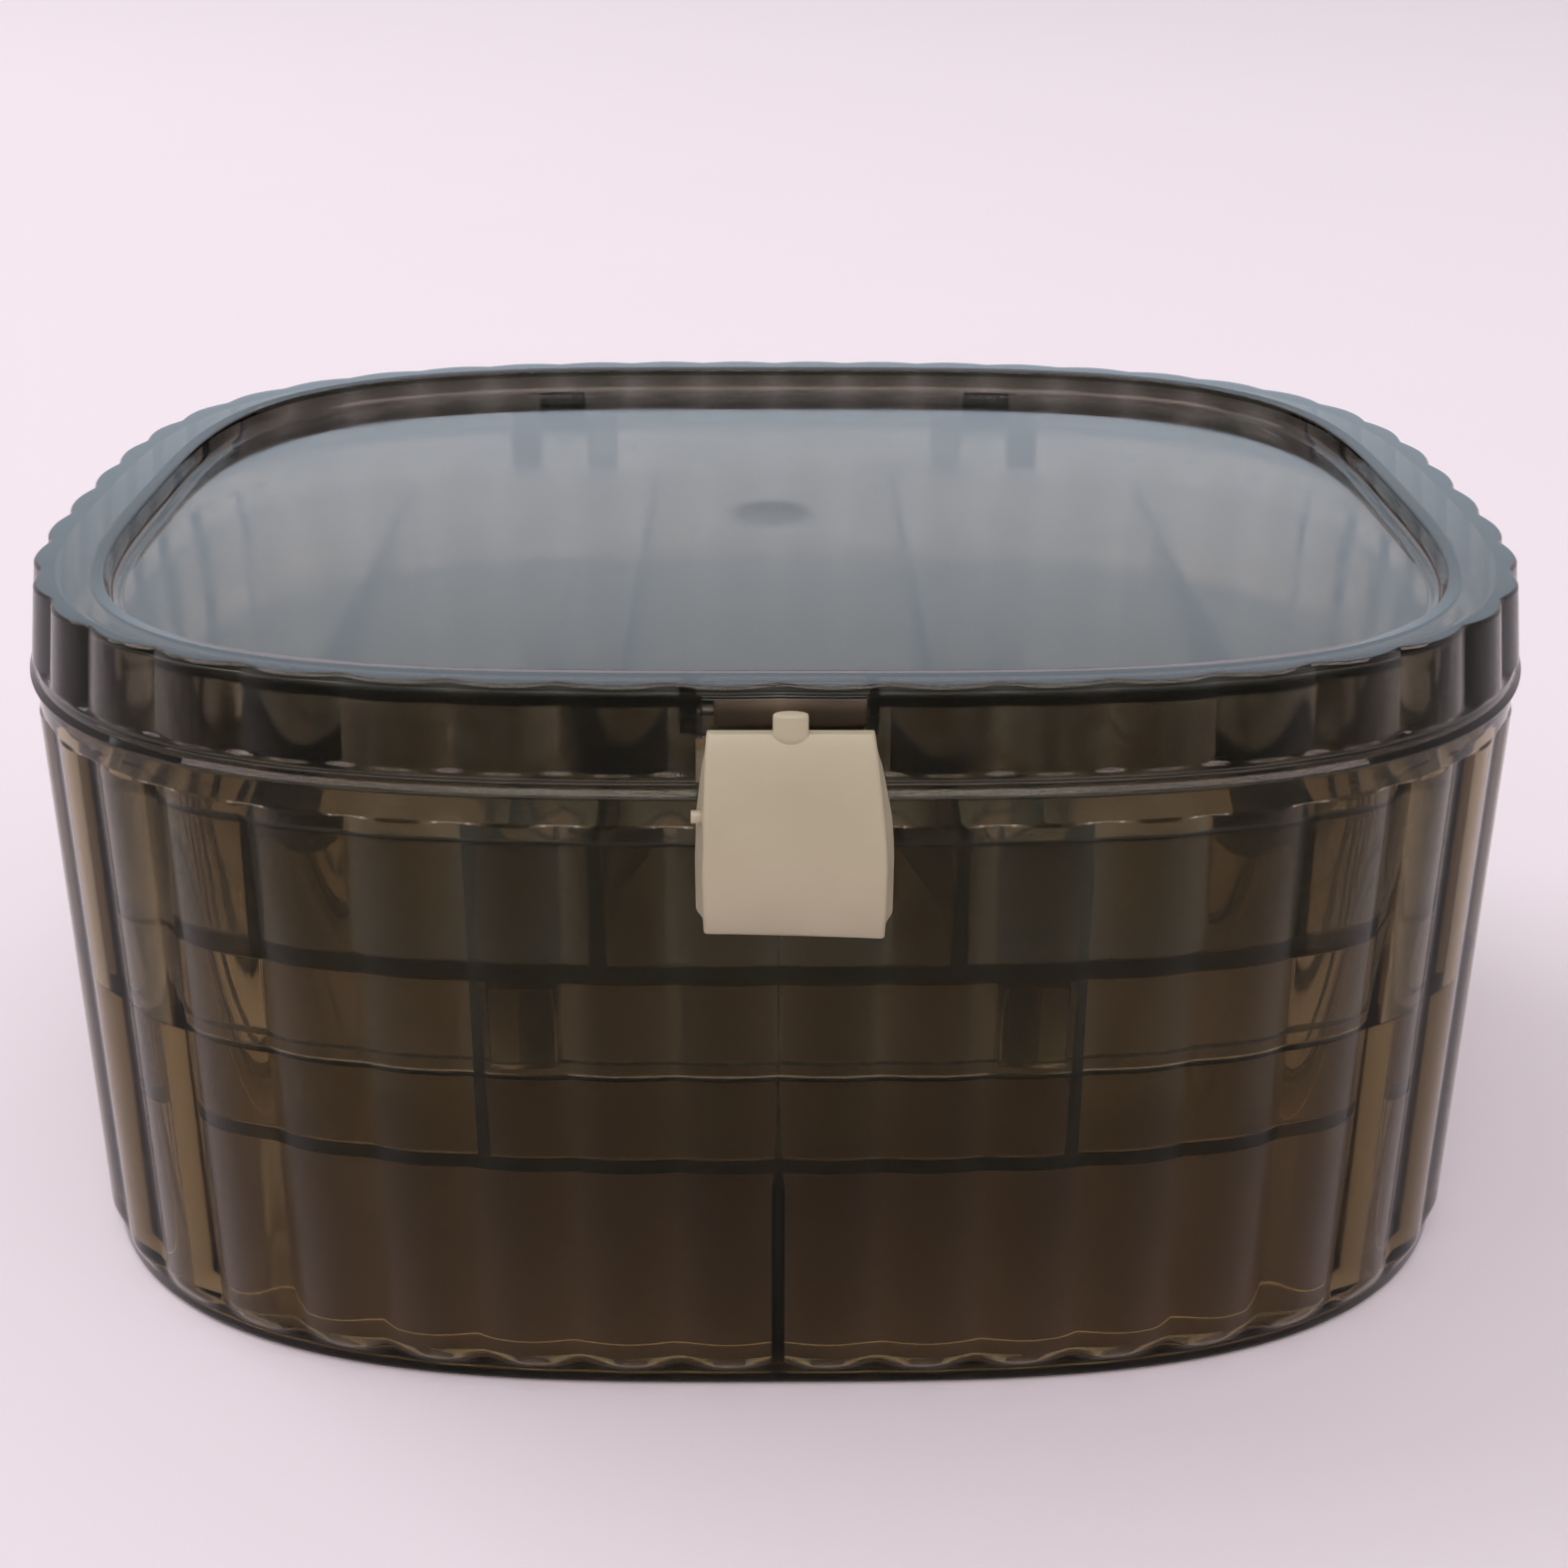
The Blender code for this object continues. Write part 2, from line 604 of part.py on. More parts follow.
def make_latch():
    latch = latch_plate()
    combine(latch, "UNION", "latch_sides", cheeks())
    combine(latch, "UNION", "latch_bearing", [latch_mount()])
    combine(latch, "UNION", "latch_hook", [hook(), peg(), nub()])
    reach = BARREL_HALF + OVERRUN
    bore = rod(barrel_centre(), LATCH_PIN_RADIUS + PIN_CLEARANCE, -reach, reach)
    combine(latch, "DIFFERENCE", "latch_bored", [bore])
    finish(latch, colour=(0.66, 0.57, 0.45), roughness=0.42)


def make_pins():
    """Steel pins: one in each rear hinge, and one that the latch turns on."""
    half = LID_KNUCKLE_LENGTH / 2 + GAP + CASING_KNUCKLE_LENGTH + HINGE_PIN_OVERHANG
    centre = (HINGE_Y, HINGE_Z)
    for name, side in (("hinge_pin_left", -1), ("hinge_pin_right", 1)):
        middle = side * HINGE_X
        pin = make_object(name, *rod(centre, HINGE_PIN_RADIUS, middle - half, middle + half))
        finish(pin, colour=(0.60, 0.60, 0.62), roughness=0.3, metallic=1.0)
    half = BARREL_HALF + GAP + EAR_THICKNESS
    pin = make_object("latch_pin", *rod(barrel_centre(), LATCH_PIN_RADIUS, -half, half))
    finish(pin, colour=(0.60, 0.60, 0.62), roughness=0.3, metallic=1.0)


def make_top_tray():
    """The shallow tray on top. Its floor rests on the middle tray's rim."""
    outer = UPPER_WALL - WALL_CLEARANCE
    inner = outer - TRAY_WALL
    floor = TOP_TRAY_BOTTOM + TRAY_FLOOR
    tray = skin("top_tray", [
        ring(outer - TRAY_ROUND, TOP_TRAY_BOTTOM),
        ring(outer, TOP_TRAY_BOTTOM + TRAY_ROUND),
        ring(outer, TOP_TRAY_RIM),
        ring(inner, TOP_TRAY_RIM),
        ring(inner, floor + TRAY_ROUND),
        ring(inner - TRAY_ROUND, floor),
    ])
    dividers = divider_row(TOP_DIVIDER_COUNT, TOP_DIVIDER_SHARE, inner + TRAY_WALL / 2,
                           floor - TRAY_FLOOR / 2, TOP_TRAY_RIM - DIVIDER_DROP)
    combine(tray, "UNION", "top_tray_dividers", dividers)
    smoked(tray)


def pads(inner, low, high):
    """Thick finger pads inside the tray's front and back walls."""
    made = []
    for side in (-1, 1):
        middle = side * PAD_SHARE * HALF_WIDTH
        far = depth_at(middle, inner) + TRAY_WALL / 2
        near = depth_at(abs(middle) + PAD_WIDTH / 2, inner) - PAD_THICKNESS
        for end in (-1, 1):
            made.append(block((middle - PAD_WIDTH / 2, min(end * near, end * far), low),
                              (middle + PAD_WIDTH / 2, max(end * near, end * far), high)))
    return made


def make_middle_tray():
    """The deeper tray. Its shoulder hangs on the ledge round the casing's inside."""
    upper = UPPER_WALL - WALL_CLEARANCE
    lower = LOWER_WALL - WALL_CLEARANCE
    floor = MIDDLE_TRAY_BOTTOM + TRAY_FLOOR
    inner_shoulder = MIDDLE_TRAY_SHOULDER + TRAY_WALL
    tray = skin("middle_tray", [
        ring(lower - TRAY_ROUND, MIDDLE_TRAY_BOTTOM),
        ring(lower, MIDDLE_TRAY_BOTTOM + TRAY_ROUND),
        ring(lower, MIDDLE_TRAY_SHOULDER),
        ring(upper, MIDDLE_TRAY_SHOULDER),
        ring(upper, MIDDLE_TRAY_RIM),
        ring(upper - TRAY_WALL, MIDDLE_TRAY_RIM),
        ring(upper - TRAY_WALL, inner_shoulder),
        ring(lower - TRAY_WALL, inner_shoulder),
        ring(lower - TRAY_WALL, floor + TRAY_ROUND),
        ring(lower - TRAY_WALL - TRAY_ROUND, floor),
    ])
    top = MIDDLE_TRAY_RIM - DIVIDER_DROP
    dividers = divider_row(MIDDLE_DIVIDER_COUNT, MIDDLE_DIVIDER_SHARE, lower - TRAY_WALL / 2,
                           floor - TRAY_FLOOR / 2, top)
    combine(tray, "UNION", "middle_tray_dividers", dividers)
    combine(tray, "UNION", "middle_tray_pads",
            pads(upper - TRAY_WALL, inner_shoulder - TRAY_WALL / 2, top))
    smoked(tray)


def main():
    for old in list(bpy.data.objects):
        bpy.data.objects.remove(old)
    make_casing()
    make_middle_tray()
    make_top_tray()
    make_lid()
    make_latch()
    make_pins()


main()
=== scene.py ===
# %% [markdown]
# # Smoked jewellery box
#
# A fluted box of clear brown-grey plastic with a hinged lid, two lift-out trays and a cream
# latch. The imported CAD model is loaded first. Casing, lid, trays and latch are then made again
# with fine surfaces, because light has to pass through them, and each stands for its CAD part.

import math

import bmesh
import bpy
import numpy as np
from mathutils import Matrix, Vector


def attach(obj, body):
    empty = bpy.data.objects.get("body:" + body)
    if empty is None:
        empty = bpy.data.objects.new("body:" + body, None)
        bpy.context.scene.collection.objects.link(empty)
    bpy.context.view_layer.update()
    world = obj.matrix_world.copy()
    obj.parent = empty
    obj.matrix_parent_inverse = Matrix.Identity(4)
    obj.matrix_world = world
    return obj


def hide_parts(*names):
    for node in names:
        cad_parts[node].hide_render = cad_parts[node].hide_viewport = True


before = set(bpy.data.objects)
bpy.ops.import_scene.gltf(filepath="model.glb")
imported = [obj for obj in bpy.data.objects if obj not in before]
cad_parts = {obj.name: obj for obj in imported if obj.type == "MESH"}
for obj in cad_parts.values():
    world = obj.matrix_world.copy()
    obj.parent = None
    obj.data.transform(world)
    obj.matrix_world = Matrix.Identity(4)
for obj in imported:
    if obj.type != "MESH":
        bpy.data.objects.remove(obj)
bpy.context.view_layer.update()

# %% [markdown]
# ## Sizes
#
# All in metres, the same values that the CAD part is built from. The plan of every wall is one
# curve, |x/a|^n + |y/b|^n = 1, moved in or out along its own normals, so that casing, lid and
# trays nest with even gaps.

# %% Sizes of the plan
HALF_WIDTH, HALF_DEPTH, PLAN_POWER = 0.1190, 0.0932, 3.1
FLUTES, FLUTE_DEPTH = 48, 0.0013
GAP = 0.0003
print("plan", 2 * HALF_WIDTH, "by", 2 * HALF_DEPTH, "m with", FLUTES, "flutes")

# %% Sizes of the casing
RIM_HEIGHT = 0.1007
CASING_WALL, LEDGE_WIDTH, LEDGE_HEIGHT = 0.0018, 0.0014, 0.0545
FLOOR_THICKNESS, FOOT_WIDTH, FOOT_STEP, BASE_ROUND = 0.0024, 0.0070, 0.0008, 0.0024
NECK_HEIGHT, NECK_SHARE = 0.0041, 0.75
LIP_HEIGHT, LIP_SETBACK = 0.0014, 0.0006
CASING_DIVIDER_THICKNESS, CASING_DIVIDER_HEIGHT = 0.0026, 0.0362
UPPER_WALL = -CASING_WALL
LOWER_WALL = UPPER_WALL - LEDGE_WIDTH
print("casing wall", CASING_WALL, "m above its ledge and", -LOWER_WALL, "m below it")

# %% Sizes of the lid
TOTAL_HEIGHT, LID_TAPER = 0.1165, 0.0017
LID_BOTTOM = RIM_HEIGHT + GAP
SKIRT_WALL, TOP_WALL, PANEL_WALL = 0.0018, 0.0018, 0.0016
PLAIN_BAND = 0.0029
RECESS_HALF_WIDTH, RECESS_HALF_DEPTH, RECESS_POWER = 0.1072, 0.0860, 3.5
RECESS_DEPTH = 0.0045
RABBET_TOP = RIM_HEIGHT + LIP_HEIGHT + GAP
print("lid height", round(TOTAL_HEIGHT - LID_BOTTOM, 4), "m")

# %% Sizes of the trays
WALL_CLEARANCE, TRAY_WALL, TRAY_FLOOR = 0.0006, 0.0015, 0.0018
MIDDLE_TRAY_BOTTOM, MIDDLE_TRAY_RIM = 0.0373, 0.0703
TOP_TRAY_BOTTOM, TOP_TRAY_RIM = MIDDLE_TRAY_RIM + GAP, 0.0923
print("trays from", MIDDLE_TRAY_BOTTOM, "to", TOP_TRAY_RIM, "m")

# %% [markdown]
# ## Loops of the plan curve
#
# A moulded wall has the same plan at every height. A loop is the plan curve at one offset and
# height, with flutes of a given share on it: half-round lobes that are pressed into the mould.
# A stack of such loops gives any wall, rim or ledge, where a block that is cut by other blocks
# would leave rough edges, and rough edges show as broken light in clear plastic.

# %% Plan curve
POINTS_PER_FLUTE = 14
ROUND_POINTS = FLUTES * POINTS_PER_FLUTE


def plan_curve(half_width, half_depth, power, count=ROUND_POINTS):
    """Points and normals of |x/a|^n + |y/b|^n = 1, evenly spaced from the front middle."""
    def at(angle):
        along, across = np.cos(angle), np.sin(angle)
        size = np.abs(along / half_width) ** power + np.abs(across / half_depth) ** power
        reach = size ** (-1 / power)
        return np.stack([reach * along, reach * across], axis=1)

    angles = np.linspace(0, 2 * math.pi, 40001) - math.pi / 2
    run = at(angles)
    length = np.concatenate([[0], np.cumsum(np.hypot(*np.diff(run, axis=0).T))])
    points = at(np.interp(np.arange(count) / count * length[-1], length, angles))
    half = np.array([half_width, half_depth])
    normals = np.sign(points) * np.abs(points / half) ** (power - 1) / half
    return points, normals / np.linalg.norm(normals, axis=1)[:, None]


BODY_PLAN = plan_curve(HALF_WIDTH, HALF_DEPTH, PLAN_POWER)
RECESS_PLAN = plan_curve(RECESS_HALF_WIDTH, RECESS_HALF_DEPTH, RECESS_POWER)
print("points round each loop:", ROUND_POINTS)

# %% Depth of the plan
def depth_at(x, offset):
    """How far the plan curve, moved by that offset, reaches along Y at one X."""
    share = min(abs(x) / (HALF_WIDTH + offset), 1.0)
    return (HALF_DEPTH + offset) * (1 - share ** PLAN_POWER) ** (1 / PLAN_POWER)


print("half depth in the middle and at x = 0.09:", depth_at(0, 0), round(depth_at(0.09, 0), 4))

# %% One loop
LOBES = np.abs(np.sin(math.pi * np.arange(ROUND_POINTS) * FLUTES / ROUND_POINTS))


def ring(offset, height, flute=0.0, plan=BODY_PLAN):
    """One loop: plan point + normal * (offset + flute * depth * |sin(pi * phase)|)."""
    out = offset + flute * FLUTE_DEPTH * LOBES
    flat = plan[0] + plan[1] * np.broadcast_to(out, len(plan[0]))[:, None]
    return np.column_stack([flat, np.full(len(flat), height)])


print("a fluted loop reaches x =", round(ring(0, 0, 1)[:, 0].max(), 4))

# %% [markdown]
# ## Rounded profiles
#
# Moulded plastic has no sharp corners, and the thin bright line along an edge is the light on
# its rounding. Every profile is given as a few corners, and each corner is rounded by its own
# small reach.

# %% Rounded corners
def corner_curve(before, corner, after, reach, steps):
    """A corner's quadratic curve: (1 - t)^2 * start + 2t(1 - t) * corner + t^2 * end."""
    before, corner, after = (np.array(point, float) for point in (before, corner, after))
    come, leave = before - corner, after - corner
    near, far = np.linalg.norm(come[:2]), np.linalg.norm(leave[:2])
    reach = min(reach, 0.45 * near, 0.45 * far)
    start, end = corner + come / near * reach, corner + leave / far * reach
    t = np.linspace(0, 1, steps)[:, None]
    return (1 - t) ** 2 * start + 2 * t * (1 - t) * corner + t ** 2 * end


def rounded(corners, reach, steps=4):
    """A closed 2-D outline with every corner rounded by that reach."""
    return np.vstack([corner_curve(corners[k - 1], corner, corners[(k + 1) % len(corners)],
                                   reach, steps) for k, corner in enumerate(corners)])


print("a rounded square has", len(rounded([(0, 0), (1, 0), (1, 1), (0, 1)], 0.1)), "points")

# %% Loops along a profile
def profile_path(corners, rounding, steps):
    """An open profile whose inner corners are rounded, each by its own reach."""
    path = [np.array(corners[:1], float)]
    for before, corner, after, reach in zip(corners, corners[1:], corners[2:], rounding):
        path.append(corner_curve(before, corner, after, reach, steps))
    return np.vstack(path + [np.array(corners[-1:], float)])


def rings_along(corners, rounding, plan=BODY_PLAN, steps=5):
    """Loops along a rounded profile of (offset, height, flute share) corners."""
    return [ring(o, z, f, plan) for o, z, f in profile_path(corners, rounding, steps)]


print("a profile of three corners gives",
      len(rings_along([(0, 0, 0), (0, 1, 0), (1, 1, 0)], [0.1])), "loops")

# %% [markdown]
# ## Closed meshes from loops
#
# Light bends in clear plastic only if each piece is a closed surface that faces outwards.
# A hoop joins its last loop to its first again, as a pipe bent to a ring does. A shell shrinks
# its first and last loop to a point, so that it is closed at both ends.

# %% Mesh from arrays
def mesh_object(name, points, quads, triangles=np.zeros((0, 3), int)):
    """An object with smooth faces from arrays of points, quads and triangles."""
    corners = np.concatenate([quads.ravel(), triangles.ravel()]).astype(np.int32)
    sizes = np.concatenate([np.full(len(quads), 4), np.full(len(triangles), 3)])
    mesh = bpy.data.meshes.new(name)
    mesh.vertices.add(len(points))
    mesh.vertices.foreach_set("co", np.asarray(points, np.float32).ravel())
    mesh.loops.add(len(corners))
    mesh.loops.foreach_set("vertex_index", corners)
    mesh.polygons.add(len(sizes))
    starts = np.concatenate([[0], np.cumsum(sizes)[:-1]]).astype(np.int32)
    mesh.polygons.foreach_set("loop_start", starts)
    mesh.update(calc_edges=True)
    mesh.validate()
    mesh.shade_smooth()
    made = bpy.data.objects.new(name, mesh)
    bpy.context.scene.collection.objects.link(made)
    return made


def face_out(piece, angle=None):
    """Turns all faces outwards, and keeps edges sharp that are steeper than the angle."""
    mesh = bmesh.new()
    mesh.from_mesh(piece.data)
    bmesh.ops.recalc_face_normals(mesh, faces=mesh.faces)
    mesh.to_mesh(piece.data)
    mesh.free()
    piece.data.shade_smooth()
    if angle:
        piece.data.set_sharp_from_angle(angle=angle)
    return piece


print("mesh helpers ready")

# %% Hoops and shells
def band_quads(here, there):
    """Quads between neighbouring loops: two points of one loop, and the same two of the next."""
    quads = np.stack([here, np.roll(here, -1, 1), np.roll(there, -1, 1), there], axis=-1)
    return quads.reshape(-1, 4)


def hoop(name, loops):
    """A closed mesh from a list of loops, of which the last is joined to the first again."""
    stack = np.array(loops)
    rows, count = stack.shape[:2]
    grid = np.arange(rows * count).reshape(rows, count)
    return mesh_object(name, stack.reshape(-1, 3), band_quads(grid, np.roll(grid, -1, 0)))


def shell(name, loops):
    """A closed mesh from a list of loops, its first and last loop gathered to their middles."""
    stack = np.array(loops)
    rows, count = stack.shape[:2]
    grid = np.arange(rows * count).reshape(rows, count)
    points = np.vstack([stack.reshape(-1, 3), stack[0].mean(axis=0), stack[-1].mean(axis=0)])
    first, last = np.full(count, rows * count), np.full(count, rows * count + 1)
    fans = [np.stack([first, np.roll(grid[0], -1), grid[0]], axis=-1),
            np.stack([last, grid[-1], np.roll(grid[-1], -1)], axis=-1)]
    return mesh_object(name, points, band_quads(grid[:-1], grid[1:]), np.vstack(fans))


print("quads between two loops:", len(band_quads(*np.arange(2 * ROUND_POINTS).reshape(2, 1, -1))))

# %% [markdown]
# ## Camera
#
# It stands in front of the box and looks 24 degrees down on it, and the picture is square. It
# could be placed by eye, but then nothing lines up. The values were fitted to the outline of
# lid, seam and base in the photograph.

# %% Camera
IMAGE_SIZE = 1575
FOCAL_PIXELS = 2172.17
CAMERA_PLACE = Vector((-0.001806, -0.360965, 0.223931))
CAMERA_DOWN, CAMERA_ROLL, CAMERA_YAW = 0.42565, 0.00328, 0.00914


def make_camera():
    """Looks along (0, cos d, -sin d), turned by -yaw about Z and by roll about its own axis."""
    turn = Matrix.Rotation(-CAMERA_YAW, 3, "Z")
    ahead = turn @ Vector((0, math.cos(CAMERA_DOWN), -math.sin(CAMERA_DOWN)))
    right = turn @ Vector((1, 0, 0))
    up = turn @ Vector((0, math.sin(CAMERA_DOWN), math.cos(CAMERA_DOWN)))
    cos, sin = math.cos(CAMERA_ROLL), math.sin(CAMERA_ROLL)
    axes = Matrix((right * cos + up * sin, up * cos - right * sin, -ahead)).transposed()
    lens = bpy.data.cameras.new("photo_camera")
    lens.sensor_width = 36
    lens.lens = FOCAL_PIXELS / IMAGE_SIZE * lens.sensor_width
    lens.clip_start, lens.clip_end = 0.01, 100
    camera = bpy.data.objects.new("photo_camera", lens)
    camera.matrix_world = Matrix.Translation(CAMERA_PLACE) @ axes.to_4x4()
    bpy.context.scene.collection.objects.link(camera)
    bpy.context.scene.camera = camera
    return camera


camera = make_camera()
print("camera lens", round(camera.data.lens, 2), "mm")

# %% [markdown]
# ## Material helpers
#
# No picture is wrapped round any piece. Every pattern is noise in the piece's own coordinates,
# which stays with the piece when it moves.

# %% Patterns
def new_material(name):
    """A material with its node tree, its Principled shader and its output."""
    made = bpy.data.materials.new(name)
    made.use_nodes = True
    tree = made.node_tree
    return made, tree, tree.nodes["Principled BSDF"], tree.nodes["Material Output"]


def own_place(tree):
    """The object's own coordinates."""
    return tree.nodes.new("ShaderNodeTexCoord").outputs["Object"]


def noise(tree, scale, detail=2.0, stretch=(1, 1, 1)):
    """Noise in the object's own coordinates, with its own scale along each axis."""
    mapping = tree.nodes.new("ShaderNodeMapping")
    mapping.inputs["Scale"].default_value = stretch
    tree.links.new(own_place(tree), mapping.inputs["Vector"])
    made = tree.nodes.new("ShaderNodeTexNoise")
    made.inputs["Scale"].default_value = scale
    made.inputs["Detail"].default_value = detail
    tree.links.new(mapping.outputs["Vector"], made.inputs["Vector"])
    return made.outputs["Fac"]


print("materials before this one:", len(bpy.data.materials))

# %% Ranges, blends and bumps
def remap(tree, value, low, high, to_low, to_high):
    """Maps low..high to to_low..to_high, clamped."""
    made = tree.nodes.new("ShaderNodeMapRange")
    for key, number in zip(("From Min", "From Max", "To Min", "To Max"),
                           (low, high, to_low, to_high)):
        made.inputs[key].default_value = number
    tree.links.new(value, made.inputs["Value"])
    return made.outputs["Result"]


def blend(tree, share, low, high):
    """The colour (1 - share) * low + share * high."""
    made = tree.nodes.new("ShaderNodeMix")
    made.data_type = "RGBA"
    made.inputs["A"].default_value = (*low, 1)
    made.inputs["B"].default_value = (*high, 1)
    tree.links.new(share, made.inputs["Factor"])
    return made.outputs["Result"]


def bump(tree, height, distance, under=None):
    """A bump of the given height in metres, on top of another bump if one is given."""
    made = tree.nodes.new("ShaderNodeBump")
    made.inputs["Distance"].default_value = distance
    made.inputs["Strength"].default_value = 1.0
    tree.links.new(height, made.inputs["Height"])
    if under is not None:
        tree.links.new(under, made.inputs["Normal"])
    return made.outputs["Normal"]


print("pattern helpers ready")

# %% [markdown]
# ## Smoked plastic
#
# The real box is one clear plastic with a brown-grey dye, so that thick parts and several walls
# behind one another look darker. A glass with a tinted surface would darken every wall alike.
# So the tint lies in the depth, as absorption per metre. Each part has its own strength, which
# was set against the photograph. The surface has the slow waviness of moulded walls and a
# fine haze. Its mirror image is tinted and weakened, as the photograph shows it.

# %% Smoked plastic
SHEEN_TINT = (0.23, 0.24, 0.18)
PLASTIC_IOR = 1.49


def smoked_plastic(name, tint, density, waviness=0.00012, haze=0.012):
    """Clear plastic whose light fades by exp(-density * (1 - tint) * path) inside it."""
    made, tree, shader, output = new_material(name)
    shader.inputs["Base Color"].default_value = (1, 1, 1, 1)
    shader.inputs["Transmission Weight"].default_value = 1.0
    shader.inputs["IOR"].default_value = PLASTIC_IOR
    shader.inputs["Specular Tint"].default_value = (*SHEEN_TINT, 1)
    haze_map = remap(tree, noise(tree, 60, 3), 0.35, 0.75, haze, haze * 2.5)
    tree.links.new(haze_map, shader.inputs["Roughness"])
    waves = bump(tree, noise(tree, 22, 1.5, (1, 1, 0.35)), waviness)
    tree.links.new(waves, shader.inputs["Normal"])
    depth = tree.nodes.new("ShaderNodeVolumeAbsorption")
    depth.inputs["Color"].default_value = (*tint, 1)
    depth.inputs["Density"].default_value = density
    tree.links.new(depth.outputs["Volume"], output.inputs["Volume"])
    return made


CASING_SMOKE = smoked_plastic("smoked_casing_plastic", (0.48, 0.37, 0.12), 302.0, 0.00009)
FLOOR_SMOKE = smoked_plastic("smoked_floor_plastic", (0.84, 0.72, 0.30), 50.0)
LID_SMOKE = smoked_plastic("smoked_lid_plastic", (0.34, 0.32, 0.27), 800.0, 0.00002, 0.05)
TOP_TRAY_SMOKE = smoked_plastic("smoked_top_tray_plastic", (0.64, 0.57, 0.44), 250.0, 0.00002)
MIDDLE_TRAY_SMOKE = smoked_plastic("smoked_middle_tray_plastic", (0.64, 0.57, 0.44), 230.0,
                                   0.00002)
print("smoked plastics", [m.name for m in bpy.data.materials if m.name.startswith("smoked")])

# %% [markdown]
# ## Darker floors and the gate mark
#
# Seen from the front, the light that comes through a tray's floor crosses it at a low angle and
# is darker than the depth alone makes it. So each tray's surface has a tint below the top of
# its floor. The casing is the other way round: above its ledge the wall is thinner, and a
# slight tint there evens out what the depth leaves too light. The lid has a round dull spot in
# its middle, where the plastic was injected.

# %% Tint by height
def shade_by_height(material, height, below, above=(1, 1, 1)):
    """Tints the clear surface below and above one height, with a 0.4 mm blend between."""
    tree = material.node_tree
    parts = tree.nodes.new("ShaderNodeSeparateXYZ")
    tree.links.new(own_place(tree), parts.inputs["Vector"])
    share = remap(tree, parts.outputs["Z"], height, height + 0.0004, 0, 1)
    tree.links.new(blend(tree, share, below, above),
                   tree.nodes["Principled BSDF"].inputs["Base Color"])
    return material


shade_by_height(CASING_SMOKE, LEDGE_HEIGHT, (1, 1, 1), (0.93, 0.93, 0.93))
shade_by_height(TOP_TRAY_SMOKE, 0.0725, (0.48, 0.44, 0.37))
shade_by_height(MIDDLE_TRAY_SMOKE, 0.0392, (0.95, 0.88, 0.74))
print("plastics with a tint by height: 3")

# %% Gate mark
MARK_X, MARK_RADIUS, MARK_ROUGHNESS = -0.0008, 0.0090, 0.27


def gate_mark(material):
    """A round spot: roughest within 0.6 of its radius, and back to the plain haze at it."""
    tree = material.node_tree
    flat = tree.nodes.new("ShaderNodeMapping")
    flat.inputs["Location"].default_value = (-MARK_X, 0, 0)
    flat.inputs["Scale"].default_value = (1, 1, 0)
    size = tree.nodes.new("ShaderNodeVectorMath")
    size.operation = "LENGTH"
    tree.links.new(own_place(tree), flat.inputs["Vector"])
    tree.links.new(flat.outputs["Vector"], size.inputs[0])
    roughness = tree.nodes["Principled BSDF"].inputs["Roughness"]
    plain = roughness.links[0].from_socket
    mix = tree.nodes.new("ShaderNodeMix")
    mix.inputs["A"].default_value = MARK_ROUGHNESS
    tree.links.new(remap(tree, size.outputs["Value"], MARK_RADIUS * 0.6, MARK_RADIUS, 0, 1),
                   mix.inputs["Factor"])
    tree.links.new(plain, mix.inputs["B"])
    tree.links.new(mix.outputs["Result"], roughness)
    return material


gate_mark(LID_SMOKE)
print("gate mark", 2 * MARK_RADIUS, "m wide")

# %% [markdown]
# ## Cream plastic and steel
#
# The latch is a solid cream plastic with a satin grain. A little light goes into it, which
# softens its edges. The leaf behind it gets a browner copy of the same cream, as painted shade
# for its place in the hollow under the lid's ring. The pins are drawn wire, so their
# fine lines run along them.

# %% Cream plastic
def cream_plastic(name, low, high):
    """Satin cream between two tones, in soft blotches, with a fine grain."""
    made, tree, shader, output = new_material(name)
    blotch = remap(tree, noise(tree, 90, 4), 0.3, 0.7, 0.0, 1.0)
    tree.links.new(blend(tree, blotch, low, high), shader.inputs["Base Color"])
    rough = remap(tree, noise(tree, 300, 3, (1, 1, 0.3)), 0.3, 0.7, 0.36, 0.5)
    tree.links.new(rough, shader.inputs["Roughness"])
    shader.inputs["Specular IOR Level"].default_value = 0.12
    shader.inputs["Subsurface Weight"].default_value = 0.15
    shader.inputs["Subsurface Radius"].default_value = (0.0012, 0.0008, 0.0005)
    shader.inputs["Subsurface Scale"].default_value = 1.0
    grain = bump(tree, noise(tree, 1500, 3), 0.00001)
    tree.links.new(bump(tree, noise(tree, 120, 2, (1, 1, 0.2)), 0.00004, grain),
                   shader.inputs["Normal"])
    return made


CREAM = cream_plastic("cream_plastic", (0.435, 0.375, 0.265), (0.465, 0.405, 0.29))
# Painted shade: the leaf's cream is a browner copy of the latch's, for the shade in the hollow
# under the lid's ring.
SHADED_LEAF_CREAM = cream_plastic("shaded_leaf_cream_plastic", (0.44, 0.35, 0.24), (0.48, 0.39, 0.27))
print("cream plastics:", CREAM.name, SHADED_LEAF_CREAM.name)

# %% Drawn steel
def drawn_steel():
    """Bright steel whose tone and roughness vary slowly along X and finely across it."""
    made, tree, shader, output = new_material("drawn_steel")
    shader.inputs["Metallic"].default_value = 1.0
    lines = noise(tree, 400, 3, (0.05, 1, 1))
    tree.links.new(blend(tree, lines, (0.52, 0.51, 0.50), (0.68, 0.67, 0.66)),
                   shader.inputs["Base Color"])
    tree.links.new(remap(tree, lines, 0.3, 0.7, 0.22, 0.38), shader.inputs["Roughness"])
    return made


STEEL = drawn_steel()
print("steel:", STEEL.name)

# %% [markdown]
# ## Casing wall and floor
#
# The real casing is one moulding. Here its wall is a hoop: foot, rounded bottom edge, flutes
# that start smooth at the base and end under a plain neck, rim with the lid's locating lip, and
# inside it the ledge that the middle tray hangs on. One shell for wall and floor would do as
# well, but light also comes up through the floor, and the photograph shows the base paler than
# the wall. So the floor, with its foot ring, is a disc of its own in a paler plastic.

